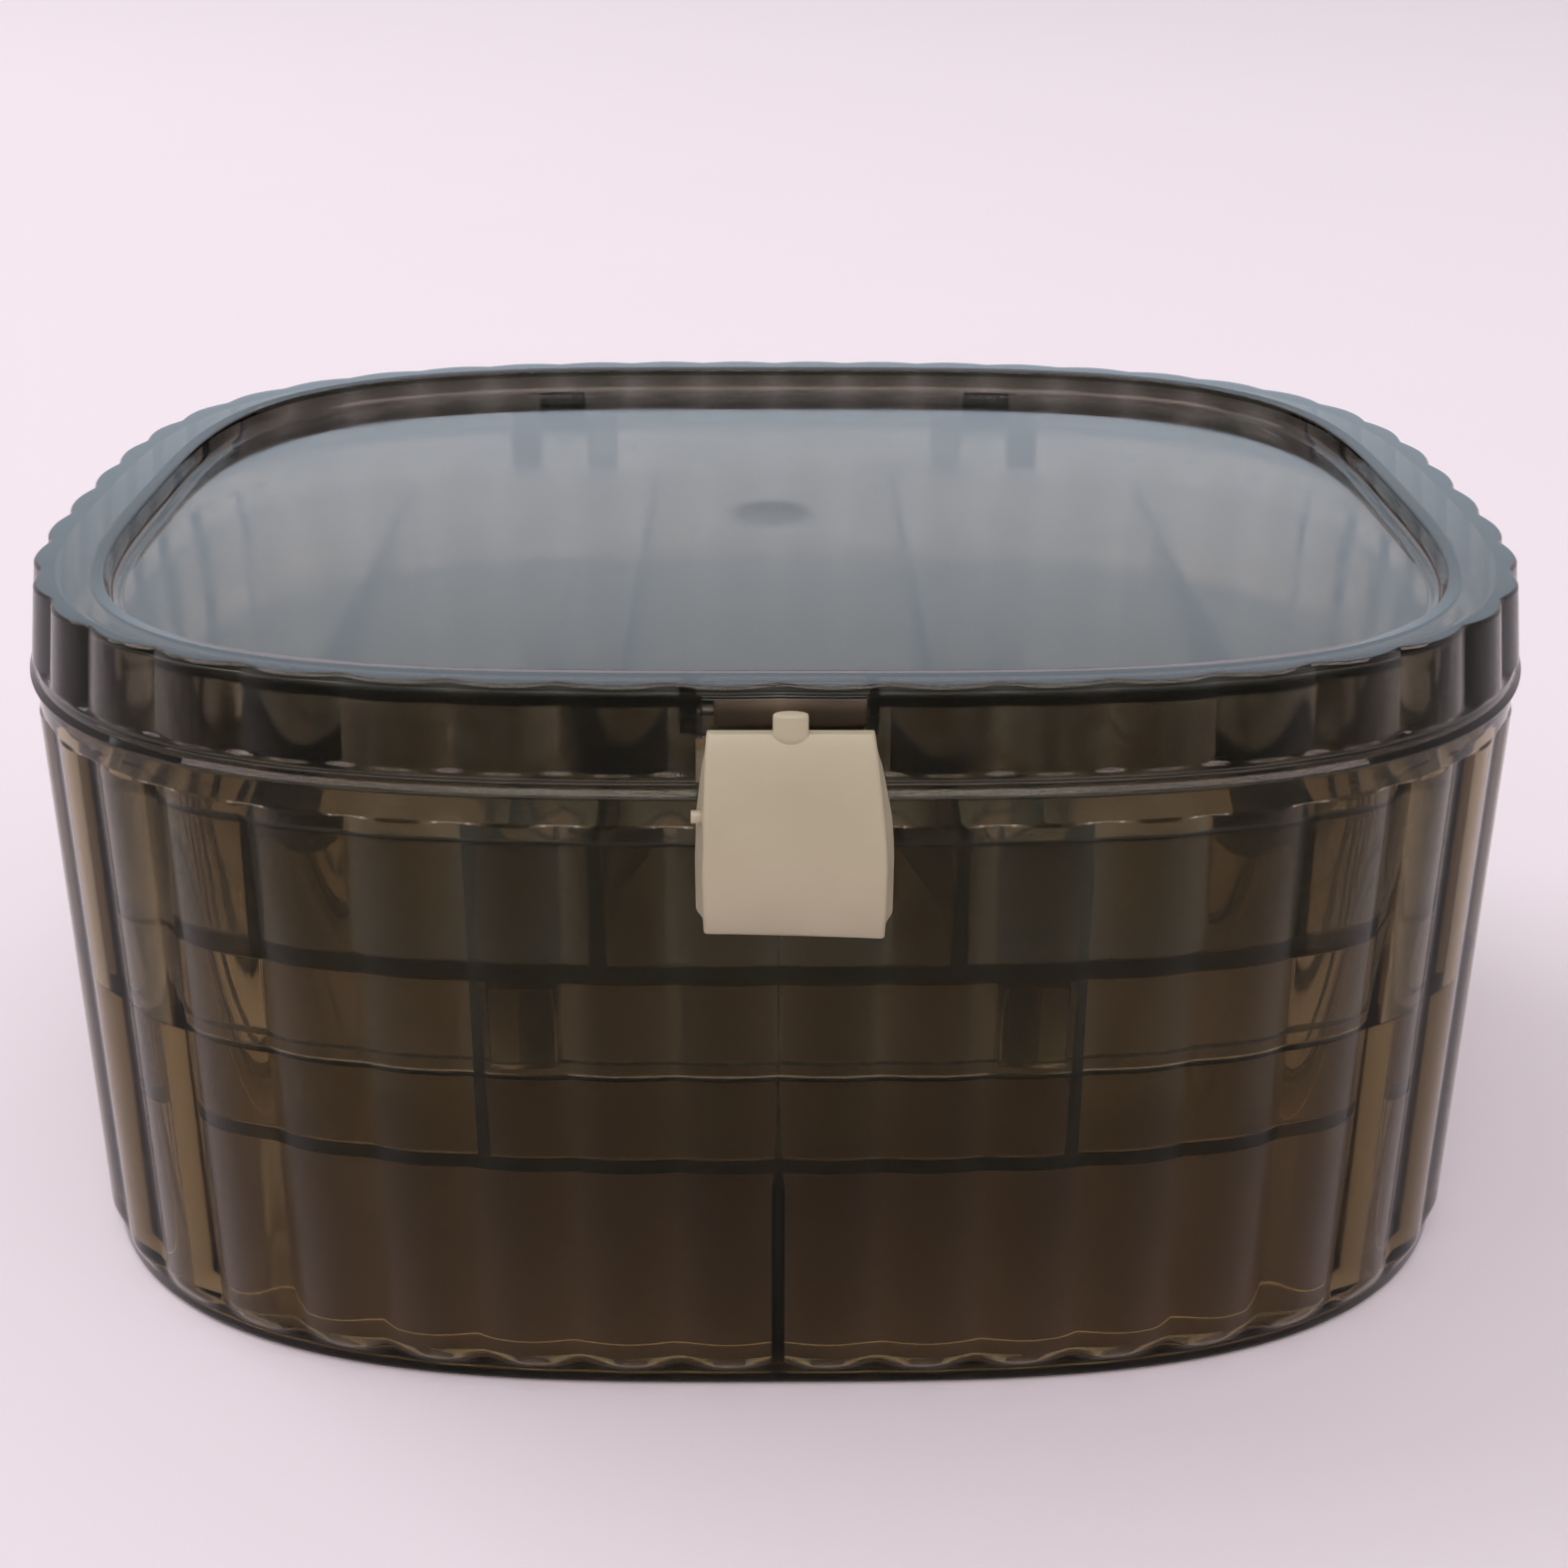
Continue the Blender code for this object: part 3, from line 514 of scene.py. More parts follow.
# %% Dress a piece
def dress(piece, body, material, slot, *stands_for):
    """Gives a piece its material and body, and hides the CAD parts that it stands for. The slot
    argument is not used.
    """
    piece.data.materials.clear()
    piece.data.materials.append(material)
    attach(piece, body)
    if stands_for:
        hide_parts(*stands_for)
    return piece


print("bodies: box, lid, latch, middle_tray, top_tray")

# %% Casing wall
NECK = NECK_SHARE * FLUTE_DEPTH
FLUTE_TOP = RIM_HEIGHT - NECK_HEIGHT
LIP_TOP = RIM_HEIGHT + LIP_HEIGHT
SPLIT = LOWER_WALL - 0.0020
casing_profile = [
    (SPLIT, FLOOR_THICKNESS / 2, 0), (SPLIT, 0, 0), (0.0002, 0, 0), (0.0002, 0.0030, 0),
    (0, 0.0052, 1), (0, FLUTE_TOP - 0.0005, 1), (NECK, FLUTE_TOP, 0), (NECK, RIM_HEIGHT, 0),
    (-LIP_SETBACK, RIM_HEIGHT, 0), (-LIP_SETBACK, LIP_TOP, 0), (UPPER_WALL, LIP_TOP, 0),
    (UPPER_WALL, LEDGE_HEIGHT, 0), (LOWER_WALL, LEDGE_HEIGHT, 0),
    (LOWER_WALL, FLOOR_THICKNESS, 0), (SPLIT, FLOOR_THICKNESS, 0)]
casing_rounding = [0.0001, 0.0015, 0.0004, 0.0010, 0.0001, 0.0001, 0.0004, 0.0002, 0.0003,
                   0.0003, 0.0003, 0.0003, 0.0016]
casing = face_out(hoop("casing_shell", rings_along(casing_profile, casing_rounding, steps=6)))
dress(casing, "box", CASING_SMOKE, "smoked_casing", "casing")
print("casing wall faces", len(casing.data.polygons))

# %% Casing floor
FOOT_OFFSET = -BASE_ROUND - FOOT_WIDTH
FLOOR_EDGE = SPLIT + 0.0003
INSET = 0.00005
floor_profile = [(FOOT_OFFSET - 0.008, FOOT_STEP, 0), (FOOT_OFFSET, FOOT_STEP, 0),
                 (FOOT_OFFSET, INSET, 0), (FLOOR_EDGE, INSET, 0),
                 (FLOOR_EDGE, FLOOR_THICKNESS - INSET, 0),
                 (FOOT_OFFSET - 0.008, FLOOR_THICKNESS - INSET, 0)]
ground = face_out(shell("casing_floor",
                        rings_along(floor_profile, [0.0003, 0.0003, 0.0001, 0.0001], steps=3)))
dress(ground, "box", FLOOR_SMOKE, "smoked_casing")
print("casing floor faces", len(ground.data.polygons))

# %% [markdown]
# ## Hinge knuckles
#
# Each hinge has two outer knuckles on the casing and one between them on the lid, with a steel
# pin through all three, and a gusset that carries the knuckle back to the wall. A knuckle could
# be a bar with its bore cut out, but such a cut can spoil a thin closed piece. So it is a hoop:
# its outside and its bore are loops with a point of each on the same ray from the pin's axis.

# %% Bars along one axis
SHARP = math.radians(24)


def bar(name, outline, axis, low, high, edge=0.0003):
    """A closed outline run along one axis, with softened ends. The other two axes keep order."""
    middle = outline.mean(axis=0)
    size = np.ptp(outline, axis=0).max() / 2
    inner = middle + (outline - middle) * (1 - edge / size)
    loops = []
    for flat, place in ((inner, low), (outline, low + edge), (outline, high - edge),
                        (inner, high)):
        loop = np.empty((len(flat), 3))
        loop[:, axis] = place
        loop[:, [k for k in range(3) if k != axis]] = flat
        loops.append(loop)
    return face_out(shell(name, loops))


def arc(centre, radius, start, stop, steps=28):
    """Points of a (y, z) arc: centre + radius * (cos t, sin t), t from start to stop."""
    turns = np.linspace(start, stop, steps)
    return np.stack([centre[0] + radius * np.cos(turns), centre[1] + radius * np.sin(turns)], 1)


print("edges stay sharp above", round(math.degrees(SHARP)), "degrees")

# %% A bored knuckle
HINGE_X, HINGE_Y, HINGE_Z = 0.04498, 0.0977, (RIM_HEIGHT + LID_BOTTOM) / 2
KNUCKLE_RADIUS, GUSSET_HEIGHT, PIN_HOLE = 0.0028, 0.0078, 0.0011
LID_KNUCKLE, CASING_KNUCKLE = 0.0096, 0.0060


def knuckle(name, middle, length, rise):
    """Outside: a round with a gusset to the wall. Bore: centre + hole radius * its unit rays."""
    centre = np.array([HINGE_Y, HINGE_Z])
    outer, bore = [], []
    for share, size in ((-0.5, 0.94), (-0.46, 1.0), (0.46, 1.0), (0.5, 0.94)):
        x = middle + share * length
        round_part = arc(centre, KNUCKLE_RADIUS, rise * math.radians(40), -rise * math.pi)
        foot = np.array([(depth_at(x, 0), HINGE_Z + rise * 0.0009),
                         (depth_at(x, -0.001), HINGE_Z + rise * GUSSET_HEIGHT)])
        outline = np.vstack([round_part, np.linspace(foot[0], foot[1], 9),
                             np.linspace(foot[1], round_part[0], 14)[1:-1]])
        rays = (outline - centre) * size
        hole = rays * PIN_HOLE / np.linalg.norm(rays, axis=1)[:, None]
        outer.append(np.column_stack([np.full(len(rays), x), centre + rays]))
        bore.append(np.column_stack([np.full(len(hole), x), centre + hole]))
    return face_out(hoop(name, outer + [bore[3], bore[0]]), SHARP)


knuckle_step = (LID_KNUCKLE + CASING_KNUCKLE) / 2 + GAP
for side in (-1, 1):
    for shift in (-knuckle_step, knuckle_step):
        part = knuckle("casing_knuckle", side * HINGE_X + shift, CASING_KNUCKLE, -1)
        dress(part, "box", CASING_SMOKE, "smoked_casing")
print("casing knuckles: 4, each", CASING_KNUCKLE, "m long")

# %% [markdown]
# ## Divider and catch
#
# One wall splits the casing's base into two compartments, sunk a little into floor and walls.
# The catch is a small wedge on the front, under which the latch's hook snaps. Its underside is
# an arc about the latch's pin, so that the hook swings past it at an even gap.

# %% Casing divider
divider_reach = depth_at(0, LOWER_WALL) + 0.0009
divider_low = FLOOR_THICKNESS - 0.0008
divider_outline = rounded([(-divider_reach, divider_low), (divider_reach, divider_low),
                           (divider_reach, CASING_DIVIDER_HEIGHT),
                           (-divider_reach, CASING_DIVIDER_HEIGHT)], 0.0004)
divider_half = CASING_DIVIDER_THICKNESS / 2
dress(bar("casing_divider", divider_outline, 0, -divider_half, divider_half, 0.0004), "box",
      CASING_SMOKE, "smoked_casing")
print("casing divider", round(2 * divider_reach, 4), "m long")

# %% Catch
PIN_Y, PIN_Z = -0.08818374, 0.1112
CATCH_NOSE, CATCH_BOTTOM, CATCH_HALF = -0.0964, 0.0934, 0.0090
catch_reach = math.hypot(CATCH_NOSE - PIN_Y, CATCH_BOTTOM - PIN_Z)
catch_root = -HALF_DEPTH + 0.001
catch_under = [(y, PIN_Z - math.sqrt(catch_reach ** 2 - (y - PIN_Y) ** 2))
               for y in np.linspace(catch_root, CATCH_NOSE, 8)]
catch_outline = np.array(catch_under + [(CATCH_NOSE, CATCH_BOTTOM + 0.0012),
                                        (catch_root, CATCH_BOTTOM + 0.0048)])
catch = bar("casing_catch", catch_outline, 0, -CATCH_HALF, CATCH_HALF)
dress(catch, "box", CASING_SMOKE, "smoked_casing")
print("catch lies", round(catch_reach, 4), "m from the latch's pin")

# %% [markdown]
# ## Lid
#
# One shell: sunk panel with its rounded wall, flat ring, scalloped edge, fluted skirt, plain
# band and a flared foot, and inside it the hollow under the ring. Two narrow slopes catch the
# light as thin lines, as they do in the photograph: one round the panel's edge, one along the
# foot. A window for the latch's arm and a pocket in front of its leaf are cut in the front.

# %% Round hollow in the panel
SKIRT_TOP = TOTAL_HEIGHT - TOP_WALL
PANEL_TOP = TOTAL_HEIGHT - RECESS_DEPTH
PANEL_UNDER = PANEL_TOP - PANEL_WALL
BAND_TOP, BEVEL = LID_BOTTOM + PLAIN_BAND, 0.0004


def dimple(radius, depth, height, steps=7):
    """Round loops of a shallow hollow: height - depth * (1 - (r / radius)^2)^2."""
    turns = np.arange(ROUND_POINTS) / ROUND_POINTS * 2 * math.pi
    loops = []
    for share in np.linspace(0.05, 1, steps):
        drop = depth * (1 - share ** 2) ** 2
        x, y = share * radius * np.sin(turns), -share * radius * np.cos(turns)
        loops.append(np.column_stack([x + MARK_X, y, np.full(ROUND_POINTS, height - drop)]))
    return loops


print("panel from", round(PANEL_UNDER, 4), "to", round(PANEL_TOP, 4), "m")

# %% Lid shell
def make_lid():
    """Loops from the panel's middle outwards, down the skirt, and back inside to the middle."""
    loops = dimple(0.0078, 0.00012, PANEL_TOP)
    loops += rings_along([(-0.008, PANEL_TOP, 0), (-0.0012, PANEL_TOP, 0),
                          (-0.0005, TOTAL_HEIGHT - 0.00032, 0), (0.0015, TOTAL_HEIGHT, 0),
                          (0.0026, TOTAL_HEIGHT, 0)],
                         [0.0022, 0.0003, 0.0001], RECESS_PLAN, 8)
    loops += rings_along([(-0.0034, TOTAL_HEIGHT, 0.6), (-LID_TAPER - BEVEL, TOTAL_HEIGHT, 1),
                          (-LID_TAPER, TOTAL_HEIGHT - BEVEL, 1),
                          (0, BAND_TOP + 0.0005, 1), (NECK, BAND_TOP, 0),
                          (NECK, LID_BOTTOM + 0.0011, 0), (NECK + 0.0008, LID_BOTTOM + 0.0003, 0),
                          (NECK + 0.0008, LID_BOTTOM, 0), (0.0009, LID_BOTTOM, 0),
                          (-0.0003, LID_BOTTOM, 0), (-0.0003, RABBET_TOP, 0),
                          (-SKIRT_WALL, RABBET_TOP, 0), (-LID_TAPER - SKIRT_WALL, SKIRT_TOP, 0),
                          (-0.0044, SKIRT_TOP, 0)],
                         [0.0001, 0.0001, 0.0003, 0.0003, 0.0001, 0.0001, 0.0001, 0.0001, 0.0001,
                          0.0001, 0.0003, 0.0008], steps=6)
    loops += rings_along([(0.0016, SKIRT_TOP, 0), (0, PANEL_UNDER + 0.0008, 0),
                          (-0.0014, PANEL_UNDER, 0), (-0.008, PANEL_UNDER, 0)],
                         [0.0008, 0.0008], RECESS_PLAN)
    return face_out(shell("lid_shell", loops))


lid = make_lid()
print("lid faces before its cuts", len(lid.data.polygons))

# %% Window and pocket for the latch
def cut(piece, *tools):
    """Takes the tools' shapes out of a piece, and removes the tools."""
    for tool in tools:
        step = piece.modifiers.new("cut", "BOOLEAN")
        step.operation, step.solver, step.object = "DIFFERENCE", "EXACT", tool
    graph = bpy.context.evaluated_depsgraph_get()
    piece.data = bpy.data.meshes.new_from_object(piece.evaluated_get(graph))
    piece.modifiers.clear()
    for tool in tools:
        bpy.data.objects.remove(tool)
    piece.data.set_sharp_from_angle(angle=SHARP)
    return piece


window = bar("window", rounded([(-0.0980, LID_BOTTOM - 0.001), (-0.0855, LID_BOTTOM - 0.001),
                                (-0.0855, 0.1094), (-0.0980, 0.1094)], 0.0003),
             0, -0.0113, 0.0113, 0.0002)
pocket = bar("pocket", rounded([(-0.0912, 0.1080), (-0.0866, 0.1080), (-0.0866, 0.1143),
                                (-0.0912, 0.1143)], 0.0003), 0, -0.0105, 0.0119, 0.0002)
lid = dress(cut(lid, window, pocket), "lid", LID_SMOKE, "smoked_lid", "lid")
print("lid faces", len(lid.data.polygons))

# %% [markdown]
# ## Lid knuckles and ears
#
# The lid's knuckles are the same shape, turned over, with their gusset upwards. Two ears that
# hang in the hollow hold the ends of the latch's pin. An ear is a plain bar, thick enough for
# its bore to be cut out.

# %% Lid knuckles and ears
PIN_BORE = 0.0007


def rod(name, centre, radius, low, high):
    """A round bar along X with plain ends."""
    return bar(name, arc(centre, radius, 0, 2 * math.pi, 49)[:-1], 0, low, high, edge=1e-5)


for side, ear_ends in ((-1, (-0.0133, -0.0110)), (1, (0.0120, 0.0133))):
    part = knuckle("lid_knuckle", side * HINGE_X, LID_KNUCKLE, 1)
    dress(part, "lid", LID_SMOKE, "smoked_lid")
    ear_outline = rounded([(PIN_Y - 0.0027, PIN_Z - 0.0022), (PIN_Y + 0.0022, PIN_Z - 0.0022),
                           (PIN_Y + 0.0022, SKIRT_TOP + 0.0005),
                           (PIN_Y - 0.0027, SKIRT_TOP + 0.0005)], 0.0005)
    bore = rod("bore", (PIN_Y, PIN_Z), PIN_BORE, ear_ends[0] - 0.001, ear_ends[1] + 0.001)
    ear = cut(bar("lid_ear", ear_outline, 0, *ear_ends), bore)
    dress(ear, "lid", LID_SMOKE, "smoked_lid")
print("lid pieces: 2 knuckles and 2 ears")

# %% [markdown]
# ## Trays
#
# Each tray is a thin shell with its dividers sunk a little into walls and floor, which is how
# one moulding looks from outside. The top tray has straight walls and stands on the middle
# tray's rim. The middle tray has a shoulder half way up, which hangs on the casing's ledge, and
# four finger pads inside its front and back walls.

# %% Tray shells and dividers
TRAY_OUTER = UPPER_WALL - WALL_CLEARANCE
TRAY_INNER = TRAY_OUTER - TRAY_WALL
DIVIDER_SINK = 0.0007
TRAY_PLASTIC = {"top_tray": TOP_TRAY_SMOKE, "middle_tray": MIDDLE_TRAY_SMOKE}


def tray_shell(name, corners, rounding, body):
    """One tray's shell from its profile, in the smoked plastic."""
    profile = [(offset, height, 0) for offset, height in corners]
    tray = face_out(shell(name, rings_along(profile, rounding)))
    return dress(tray, body, TRAY_PLASTIC[body], "smoked_tray", body)


def divider(name, x, offset, low, high, body):
    """A wall across a tray: 2.4 mm thick at its foot, 1.4 mm at its rounded top."""
    reach = depth_at(x, offset)
    outline = rounded([(x - 0.0012, low), (x + 0.0012, low), (x + 0.0007, high),
                       (x - 0.0007, high)], 0.0004)
    dress(bar(name, outline, 1, -reach, reach), body, TRAY_PLASTIC[body], "smoked_tray")


print("tray wall from", round(TRAY_INNER, 4), "to", round(TRAY_OUTER, 4), "m off the plan")

# %% Top tray
top_floor = TOP_TRAY_BOTTOM + TRAY_FLOOR
top_tray = tray_shell("top_tray_shell",
                      [(TRAY_OUTER - 0.008, TOP_TRAY_BOTTOM), (TRAY_OUTER, TOP_TRAY_BOTTOM),
                       (TRAY_OUTER, TOP_TRAY_RIM), (TRAY_INNER, TOP_TRAY_RIM),
                       (TRAY_INNER, top_floor), (TRAY_INNER - 0.008, top_floor)],
                      [0.0007, 0.0004, 0.0004, 0.0010], "top_tray")
for x in (-0.0762, -0.0254, 0.0254, 0.0762):
    divider("top_tray_divider", x, TRAY_INNER + DIVIDER_SINK, TOP_TRAY_BOTTOM + 0.0010,
            TOP_TRAY_RIM - 0.0010, "top_tray")
print("top tray faces", len(top_tray.data.polygons), "and 4 dividers")

# %% Middle tray
TRAY_LOWER = LOWER_WALL - WALL_CLEARANCE
LOWER_INNER = TRAY_LOWER - TRAY_WALL
SHOULDER = LEDGE_HEIGHT + GAP
middle_floor = MIDDLE_TRAY_BOTTOM + TRAY_FLOOR
middle_tray = tray_shell(
    "middle_tray_shell",
    [(TRAY_LOWER - 0.008, MIDDLE_TRAY_BOTTOM), (TRAY_LOWER, MIDDLE_TRAY_BOTTOM),
     (TRAY_LOWER, SHOULDER), (TRAY_OUTER, SHOULDER), (TRAY_OUTER, MIDDLE_TRAY_RIM),
     (TRAY_INNER, MIDDLE_TRAY_RIM), (TRAY_INNER, SHOULDER + TRAY_WALL),
     (LOWER_INNER, SHOULDER + TRAY_WALL), (LOWER_INNER, middle_floor),
     (LOWER_INNER - 0.008, middle_floor)],
    [0.0007, 0.0003, 0.0003, 0.0004, 0.0004, 0.0005, 0.0005, 0.0010], "middle_tray")
for x in (-0.0433, 0.0433):
    divider("middle_tray_divider", x, LOWER_INNER + DIVIDER_SINK, MIDDLE_TRAY_BOTTOM + 0.0010,
            MIDDLE_TRAY_RIM - 0.0010, "middle_tray")
print("middle tray faces", len(middle_tray.data.polygons), "and 2 dividers")

# %% Finger pads
PAD_HALF, PAD_REACH = 0.0046, 0.0012
for x in (-0.037, 0.037):
    for end in (-1, 1):
        near, far = sorted((end * (depth_at(abs(x) + PAD_HALF, TRAY_INNER) - PAD_REACH),
                            end * (depth_at(x, TRAY_INNER) + DIVIDER_SINK)))
        pad_outline = rounded([(near, SHOULDER + 0.0008), (far, SHOULDER + 0.0008),
                               (far, MIDDLE_TRAY_RIM - 0.0010),
                               (near, MIDDLE_TRAY_RIM - 0.0010)], 0.0005)
        pad = bar("middle_tray_pad", pad_outline, 0, x - PAD_HALF, x + PAD_HALF, 0.0005)
        dress(pad, "middle_tray", MIDDLE_TRAY_SMOKE, "smoked_tray")
print("finger pads: 4, each", 2 * PAD_HALF, "m wide")

# %% [markdown]
# ## Latch plate
#
# The cream latch is a curved plate with two cheeks, which get wider towards the casing. In the
# photograph it stands 1.5 mm to the right on its pin and slightly askew, as a loose latch does.
# A flat plate could be bent and solidified, but cheeks and skew are simpler as a stack of
# sections: each section is a closed U, and its place follows an ellipse seen from the side.

# %% Line of the plate
LATCH_TOP, LATCH_BOTTOM, LATCH_FULLEST = 0.1110, 0.0805, 0.0956
ARC_HEIGHT, ARC_DEPTH, LATCH_MIDDLE_Y = 0.0185, 0.0105, -0.0900
PLATE = 0.0015


def turn_at(height):
    """The turn t at which the ellipse is at that height: asin((z - f) / h)."""
    return math.asin((height - LATCH_FULLEST) / ARC_HEIGHT)


def plate_point(turn, inset=0.0):
    """(y, z) on the ellipse y = m - d cos t, z = f + h sin t, moved inwards along its normal."""
    normal = np.array([-math.cos(turn) / ARC_DEPTH, math.sin(turn) / ARC_HEIGHT])
    normal /= np.linalg.norm(normal)
    face = np.array([LATCH_MIDDLE_Y - ARC_DEPTH * math.cos(turn),
                     LATCH_FULLEST + ARC_HEIGHT * math.sin(turn)])
    return face - inset * normal


print("plate's foremost point", plate_point(0).round(4))

# %% One section of the plate
CHEEK_BACK, CHEEK_LOW, CHEEK_HIGH = -0.0951, 0.0834, 0.1095
LATCH_SHIFT, LATCH_SKEW = 0.0015, 0.0006
CORNER = 0.0008


def plate_section(turn):
    """One closed U of points: outside from left to right, then inside from right to left."""
    face = plate_point(turn)
    height = face[1]
    slope = math.atan2(math.sin(turn) / ARC_HEIGHT, math.cos(turn) / ARC_DEPTH)
    back = face[0] + PLATE * min(1 / math.cos(slope), 1.05)
    fall = (LATCH_TOP - height) / (LATCH_TOP - LATCH_BOTTOM)
    half = 0.0112 + 0.0014 * min(fall / 0.6, 1) ** 0.7
    reach = (min(max((height - CHEEK_LOW) / 0.0007, 0), 1)
             * min(max((CHEEK_HIGH - height) / 0.0030, 0), 1))
    depth = max(CHEEK_BACK - back, 0) * reach + 0.00001
    flare = 0.0011 * min(fall / 0.4, 1) * reach
    t = np.linspace(math.pi / 2, 0, 7)
    side = list(zip(half - CORNER * (1 - np.sin(t)), face[0] + CORNER * (1 - np.cos(t))))
    out = [(half + flare, back + depth)] + side + [(0.0, face[0])]
    inside = [(half - 0.0013 + flare, back + depth), (half - 0.0016, back), (0.0, back)]
    outer = [(-x, y, height) for x, y in out] + [(x, y, height) for x, y in out[-2::-1]]
    inner = [(x, y, height) for x, y in inside] + [(-x, y, height) for x, y in inside[-2::-1]]
    points = np.array(outer + inner)
    across = points[:, 0] / half
    points[:, 2] += fall ** 3 * (0.0003 * (1 - across ** 2) - 0.0004 * across)
    points[:, 0] += LATCH_SHIFT + LATCH_SKEW * min(fall / 0.5, 1)
    return points


print("points round the plate:", len(plate_section(0)))

# %% Latch plate
def sweep(name, sections):
    """Closed sections joined by quads, with a flat many-sided face at each end."""
    stack = np.array(sections)
    rows, count = stack.shape[:2]
    grid = np.arange(rows * count).reshape(rows, count)
    faces = band_quads(grid[:-1], grid[1:]).tolist() + [grid[0].tolist(), grid[-1].tolist()]
    mesh = bpy.data.meshes.new(name)
    mesh.from_pydata(stack.reshape(-1, 3).tolist(), [], faces)
    made = bpy.data.objects.new(name, mesh)
    bpy.context.scene.collection.objects.link(made)
    return face_out(made, SHARP)


def soften(piece, width):
    """Rounds all edges sharper than 35 degrees."""
    round_over = piece.modifiers.new("soft_edges", "BEVEL")
    round_over.limit_method = "ANGLE"
    round_over.angle_limit = math.radians(35)
    round_over.width = width
    round_over.segments = 3
    round_over.use_clamp_overlap = True
    round_over.harden_normals = True
    return piece


heights = np.linspace(LATCH_BOTTOM, LATCH_TOP, 80)
plate = soften(sweep("latch_plate", [plate_section(turn_at(z)) for z in heights]), 0.0004)
dress(plate, "latch", CREAM, "cream_latch", "latch")
print("plate faces", len(plate.data.polygons))

# %% [markdown]
# ## Behind and on the latch
#
# The leaf turns on the steel pin in the lid's hollow. An arm hangs from it, and a web runs from
# the arm through the window to the plate. A bar across the plate's back hooks under the
# casing's catch. An oval peg stands on top, and a small nub is left where the plastic came in.

# %% Latch leaf
leaf_outline = rounded([(PIN_Y - 0.0019, PIN_Z - 0.0019), (PIN_Y + 0.0017, PIN_Z - 0.0019),
                        (PIN_Y + 0.0017, PIN_Z + 0.0017), (PIN_Y - 0.0019, PIN_Z + 0.0017)],
                       0.0011, 7)
leaf = cut(bar("latch_leaf", leaf_outline, 0, LATCH_SHIFT - 0.0102, LATCH_SHIFT + 0.0102),
           rod("bore", (PIN_Y, PIN_Z), PIN_BORE, -0.0120, 0.0130))
# The leaf gets the cream copy with painted shade.
dress(leaf, "latch", SHADED_LEAF_CREAM, "cream_latch")
print("leaf faces", len(leaf.data.polygons))

# %% Arm, web and hook
WEB_LOW, WEB_HIGH, WEB_MIDDLE, ARM_HIGH = 0.1046, 0.1062, 0.1054, 0.1098
HOOK_HEIGHT = 0.0025
arm = rounded([(PIN_Y, WEB_LOW), (PIN_Y + 0.0016, WEB_LOW), (PIN_Y + 0.0016, ARM_HIGH),
               (PIN_Y, ARM_HIGH)], 0.0004)
web_end = plate_point(turn_at(WEB_MIDDLE), PLATE * 0.6)[0]
web = rounded([(web_end, WEB_LOW), (PIN_Y + 0.0010, WEB_LOW), (PIN_Y + 0.0010, WEB_HIGH),
               (web_end, WEB_HIGH)], 0.0004)
hook_tip = -HALF_DEPTH - FLUTE_DEPTH - GAP
hook_top = PIN_Z - math.sqrt((catch_reach + GAP) ** 2 - (hook_tip - PIN_Y) ** 2)
hook_end = plate_point(turn_at(hook_top - HOOK_HEIGHT / 2), PLATE * 0.6)[0]
hook = rounded([(hook_end, hook_top - HOOK_HEIGHT), (hook_tip, hook_top - HOOK_HEIGHT),
                (hook_tip, hook_top), (hook_end, hook_top)], 0.0004)
for name, outline, half in (("latch_arm", arm, 0.0096), ("latch_web", web, 0.0096),
                            ("latch_hook", hook, 0.0118)):
    part = bar(name, outline, 0, LATCH_SHIFT - half, LATCH_SHIFT + half)
    dress(part, "latch", CREAM, "cream_latch")
print("hook's top", round(hook_top, 4), "m")

# %% Peg and nub
PEG_HALF_WIDTH, PEG_HALF_DEPTH = 0.0024, 0.0012
PEG_PROFILE = ((0.9, 0.1095), (1.06, 0.1108), (1.0, 0.1112), (1.0, 0.1134), (0.97, 0.1137),
               (0.90, 0.1138), (0.4, 0.1138))
peg_y = plate_point(turn_at(LATCH_TOP), PLATE / 2)[0] - 0.0003
round_turns = np.linspace(0, 2 * math.pi, 49)[:-1]
peg_loops = [np.column_stack([LATCH_SHIFT + PEG_HALF_WIDTH * share * np.cos(round_turns),
                              peg_y + PEG_HALF_DEPTH * share * np.sin(round_turns),
                              np.full(len(round_turns), z)]) for share, z in PEG_PROFILE]
dress(face_out(shell("latch_peg", peg_loops)), "latch", CREAM, "cream_latch")
NUB_HEIGHT, NUB_RADIUS = 0.0998, 0.0009
nub_y = plate_point(turn_at(NUB_HEIGHT), 0.0024)[0]
nub = rod("latch_nub", (nub_y, NUB_HEIGHT), NUB_RADIUS, LATCH_SHIFT - 0.0134,
          LATCH_SHIFT - 0.0118)
dress(nub, "latch", CREAM, "cream_latch")

# %% [markdown]
# ## Pins
#
# Three thin steel pins carry the lid and the latch. They could be made again as finer rods, but
# little more than their ends is ever seen. So they keep their CAD shape and get the drawn steel
# in place of the plain one.

# %% Pins
for name in ("latch_pin", "hinge_pin_left", "hinge_pin_right"):
    pin = bpy.data.objects[name]
    pin.data.materials.clear()
    pin.data.materials.append(STEEL)
print("steel pins: 3")

# %% [markdown]
# ## Floor and backdrop
#
# A wide pale pink floor with the same tone behind it, so that no edge shows in the picture. The
# backdrop could be a bent sheet, but the world's own colour does the same. Where it is seen, it
# has the floor's tone. Where it only lights matt surfaces, it is dimmer, which keeps the box's
# shadow on the floor.

# %% Floor
PINK = (0.877, 0.775, 0.831)
FLOOR_HALF, FLOOR_LEVEL = 9, -0.00015


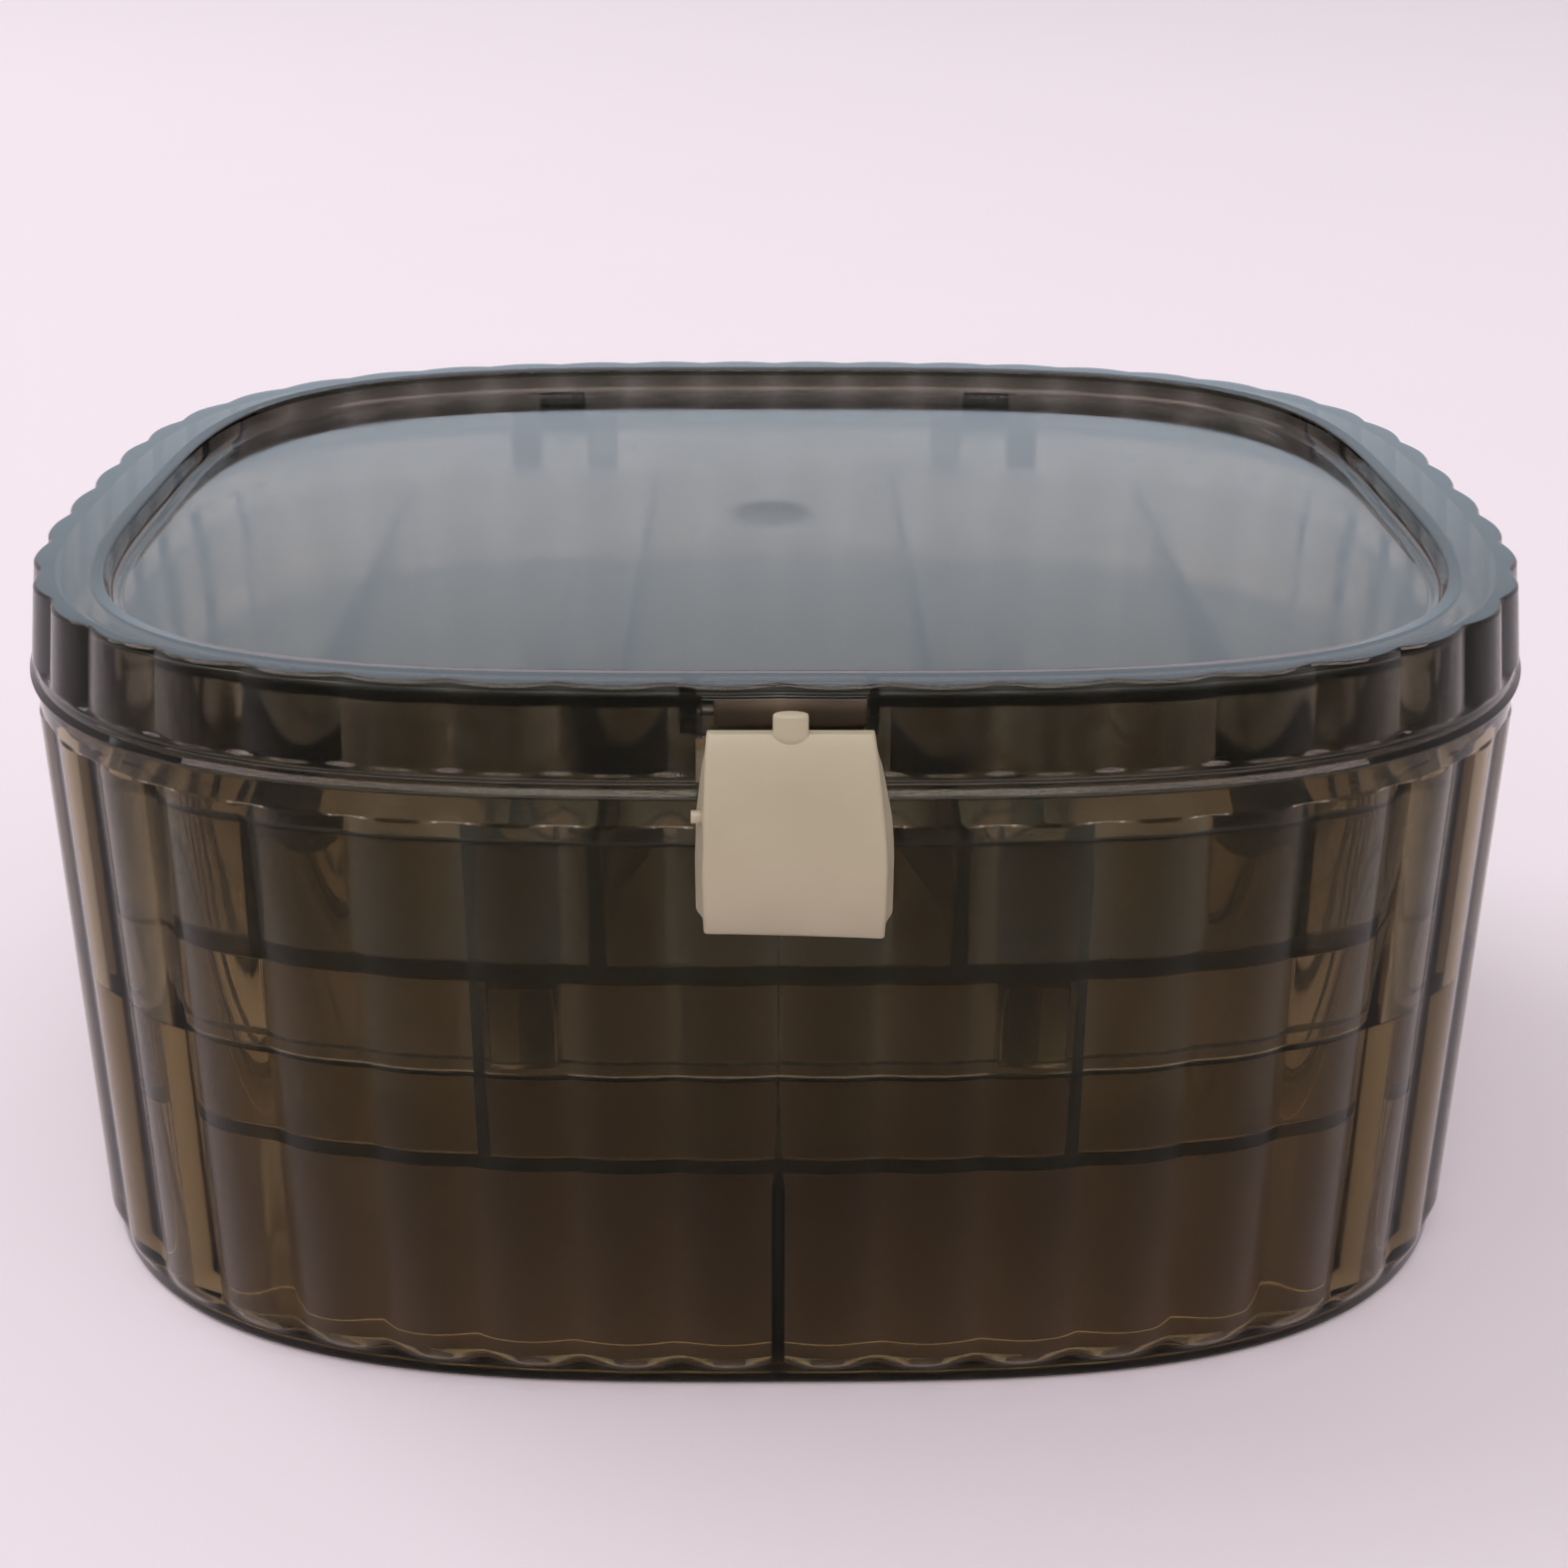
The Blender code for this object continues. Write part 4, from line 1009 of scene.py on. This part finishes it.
def pale_surface(name, colour):
    """A matt surface with a very slight mottle, down to 0.985 of its colour."""
    made, tree, shader, output = new_material(name)
    tree.links.new(blend(tree, noise(tree, 8, 3), [c * 0.985 for c in colour], colour),
                   shader.inputs["Base Color"])
    shader.inputs["Roughness"].default_value = 0.9
    shader.inputs["Specular IOR Level"].default_value = 0.05
    return made


corners = np.array([(-1, -1, 0), (1, -1, 0), (1, 1, 0), (-1, 1, 0)]) * FLOOR_HALF
floor = mesh_object("floor", corners + np.array([0, 0, FLOOR_LEVEL]), np.array([[0, 1, 2, 3]]))
floor.data.materials.append(pale_surface("pale_floor", PINK))
print("floor", 2 * FLOOR_HALF, "m wide")

# %% Backdrop
def larger(tree, first, second):
    """The larger of two values."""
    made = tree.nodes.new("ShaderNodeMath")
    made.operation = "MAXIMUM"
    tree.links.new(first, made.inputs[0])
    tree.links.new(second, made.inputs[1])
    return made.outputs["Value"]


world = bpy.data.worlds.new("backdrop")
bpy.context.scene.world = world
world.use_nodes = True
tree = world.node_tree
back = tree.nodes["Background"]
path = tree.nodes.new("ShaderNodeLightPath").outputs
seen = larger(tree, larger(tree, path["Is Camera Ray"], path["Is Glossy Ray"]),
              path["Is Transmission Ray"])
tree.links.new(blend(tree, seen, (0.69, 0.685, 0.69), PINK), back.inputs["Color"])
back.inputs["Strength"].default_value = 1.0
print("backdrop of the same tone as the floor")

# %% [markdown]
# ## Lamps
#
# A large soft lamp high on the left throws the soft shadow to the right, and one in front above
# lights the latch. Two more light no matt surface: a wide pale blue panel far behind gives the
# lid its cool sheen, and a bright strip overhead draws the thin lines along the lid's edge and
# foot. The strip isn't seen through the plastic either, where it would only make grain.

# %% Lamps
def soft_light(name, place, target, width, height, level, colour=(1, 1, 1)):
    """A panel of even brightness that faces its target: power = level * pi * area."""
    light = bpy.data.lights.new(name, "AREA")
    light.shape, light.size, light.size_y, light.color = "RECTANGLE", width, height, colour
    light.energy = level * math.pi * width * height
    made = bpy.data.objects.new(name, light)
    made.location = place
    made.rotation_euler = (Vector(target) - Vector(place)).to_track_quat("-Z", "Y").to_euler()
    bpy.context.scene.collection.objects.link(made)
    return made


soft_light("key", (-3.2, 1.4, 3.6), (0, 0, 0.05), 2.7, 2.7, 3.2, (0.98, 0.98, 1.0))
soft_light("front", (0.0, -2.7, 3.5), (0, 0, 0.05), 2.6, 2.0, 2.8)
rear = soft_light("rear", (0.0, 7.0, 2.6), (0, 0, 0.1), 7.0, 3.6, 0.53, (0.30, 0.76, 1.0))
rear.visible_diffuse = False
strip = soft_light("strip", (0.0, -0.8, 2.8), (0, 0, 0.1), 6.4, 2.2, 9, (1.0, 0.78, 0.88))
strip.visible_diffuse = False
strip.visible_transmission = False

# %% Picture settings
scene = bpy.context.scene
scene.view_settings.view_transform = "Standard"
scene.cycles.max_bounces = 24
scene.cycles.transmission_bounces = 24
scene.cycles.glossy_bounces = 8
scene.cycles.diffuse_bounces = 4
print("light bounces", scene.cycles.max_bounces)

# %% Finish
bpy.context.view_layer.update()
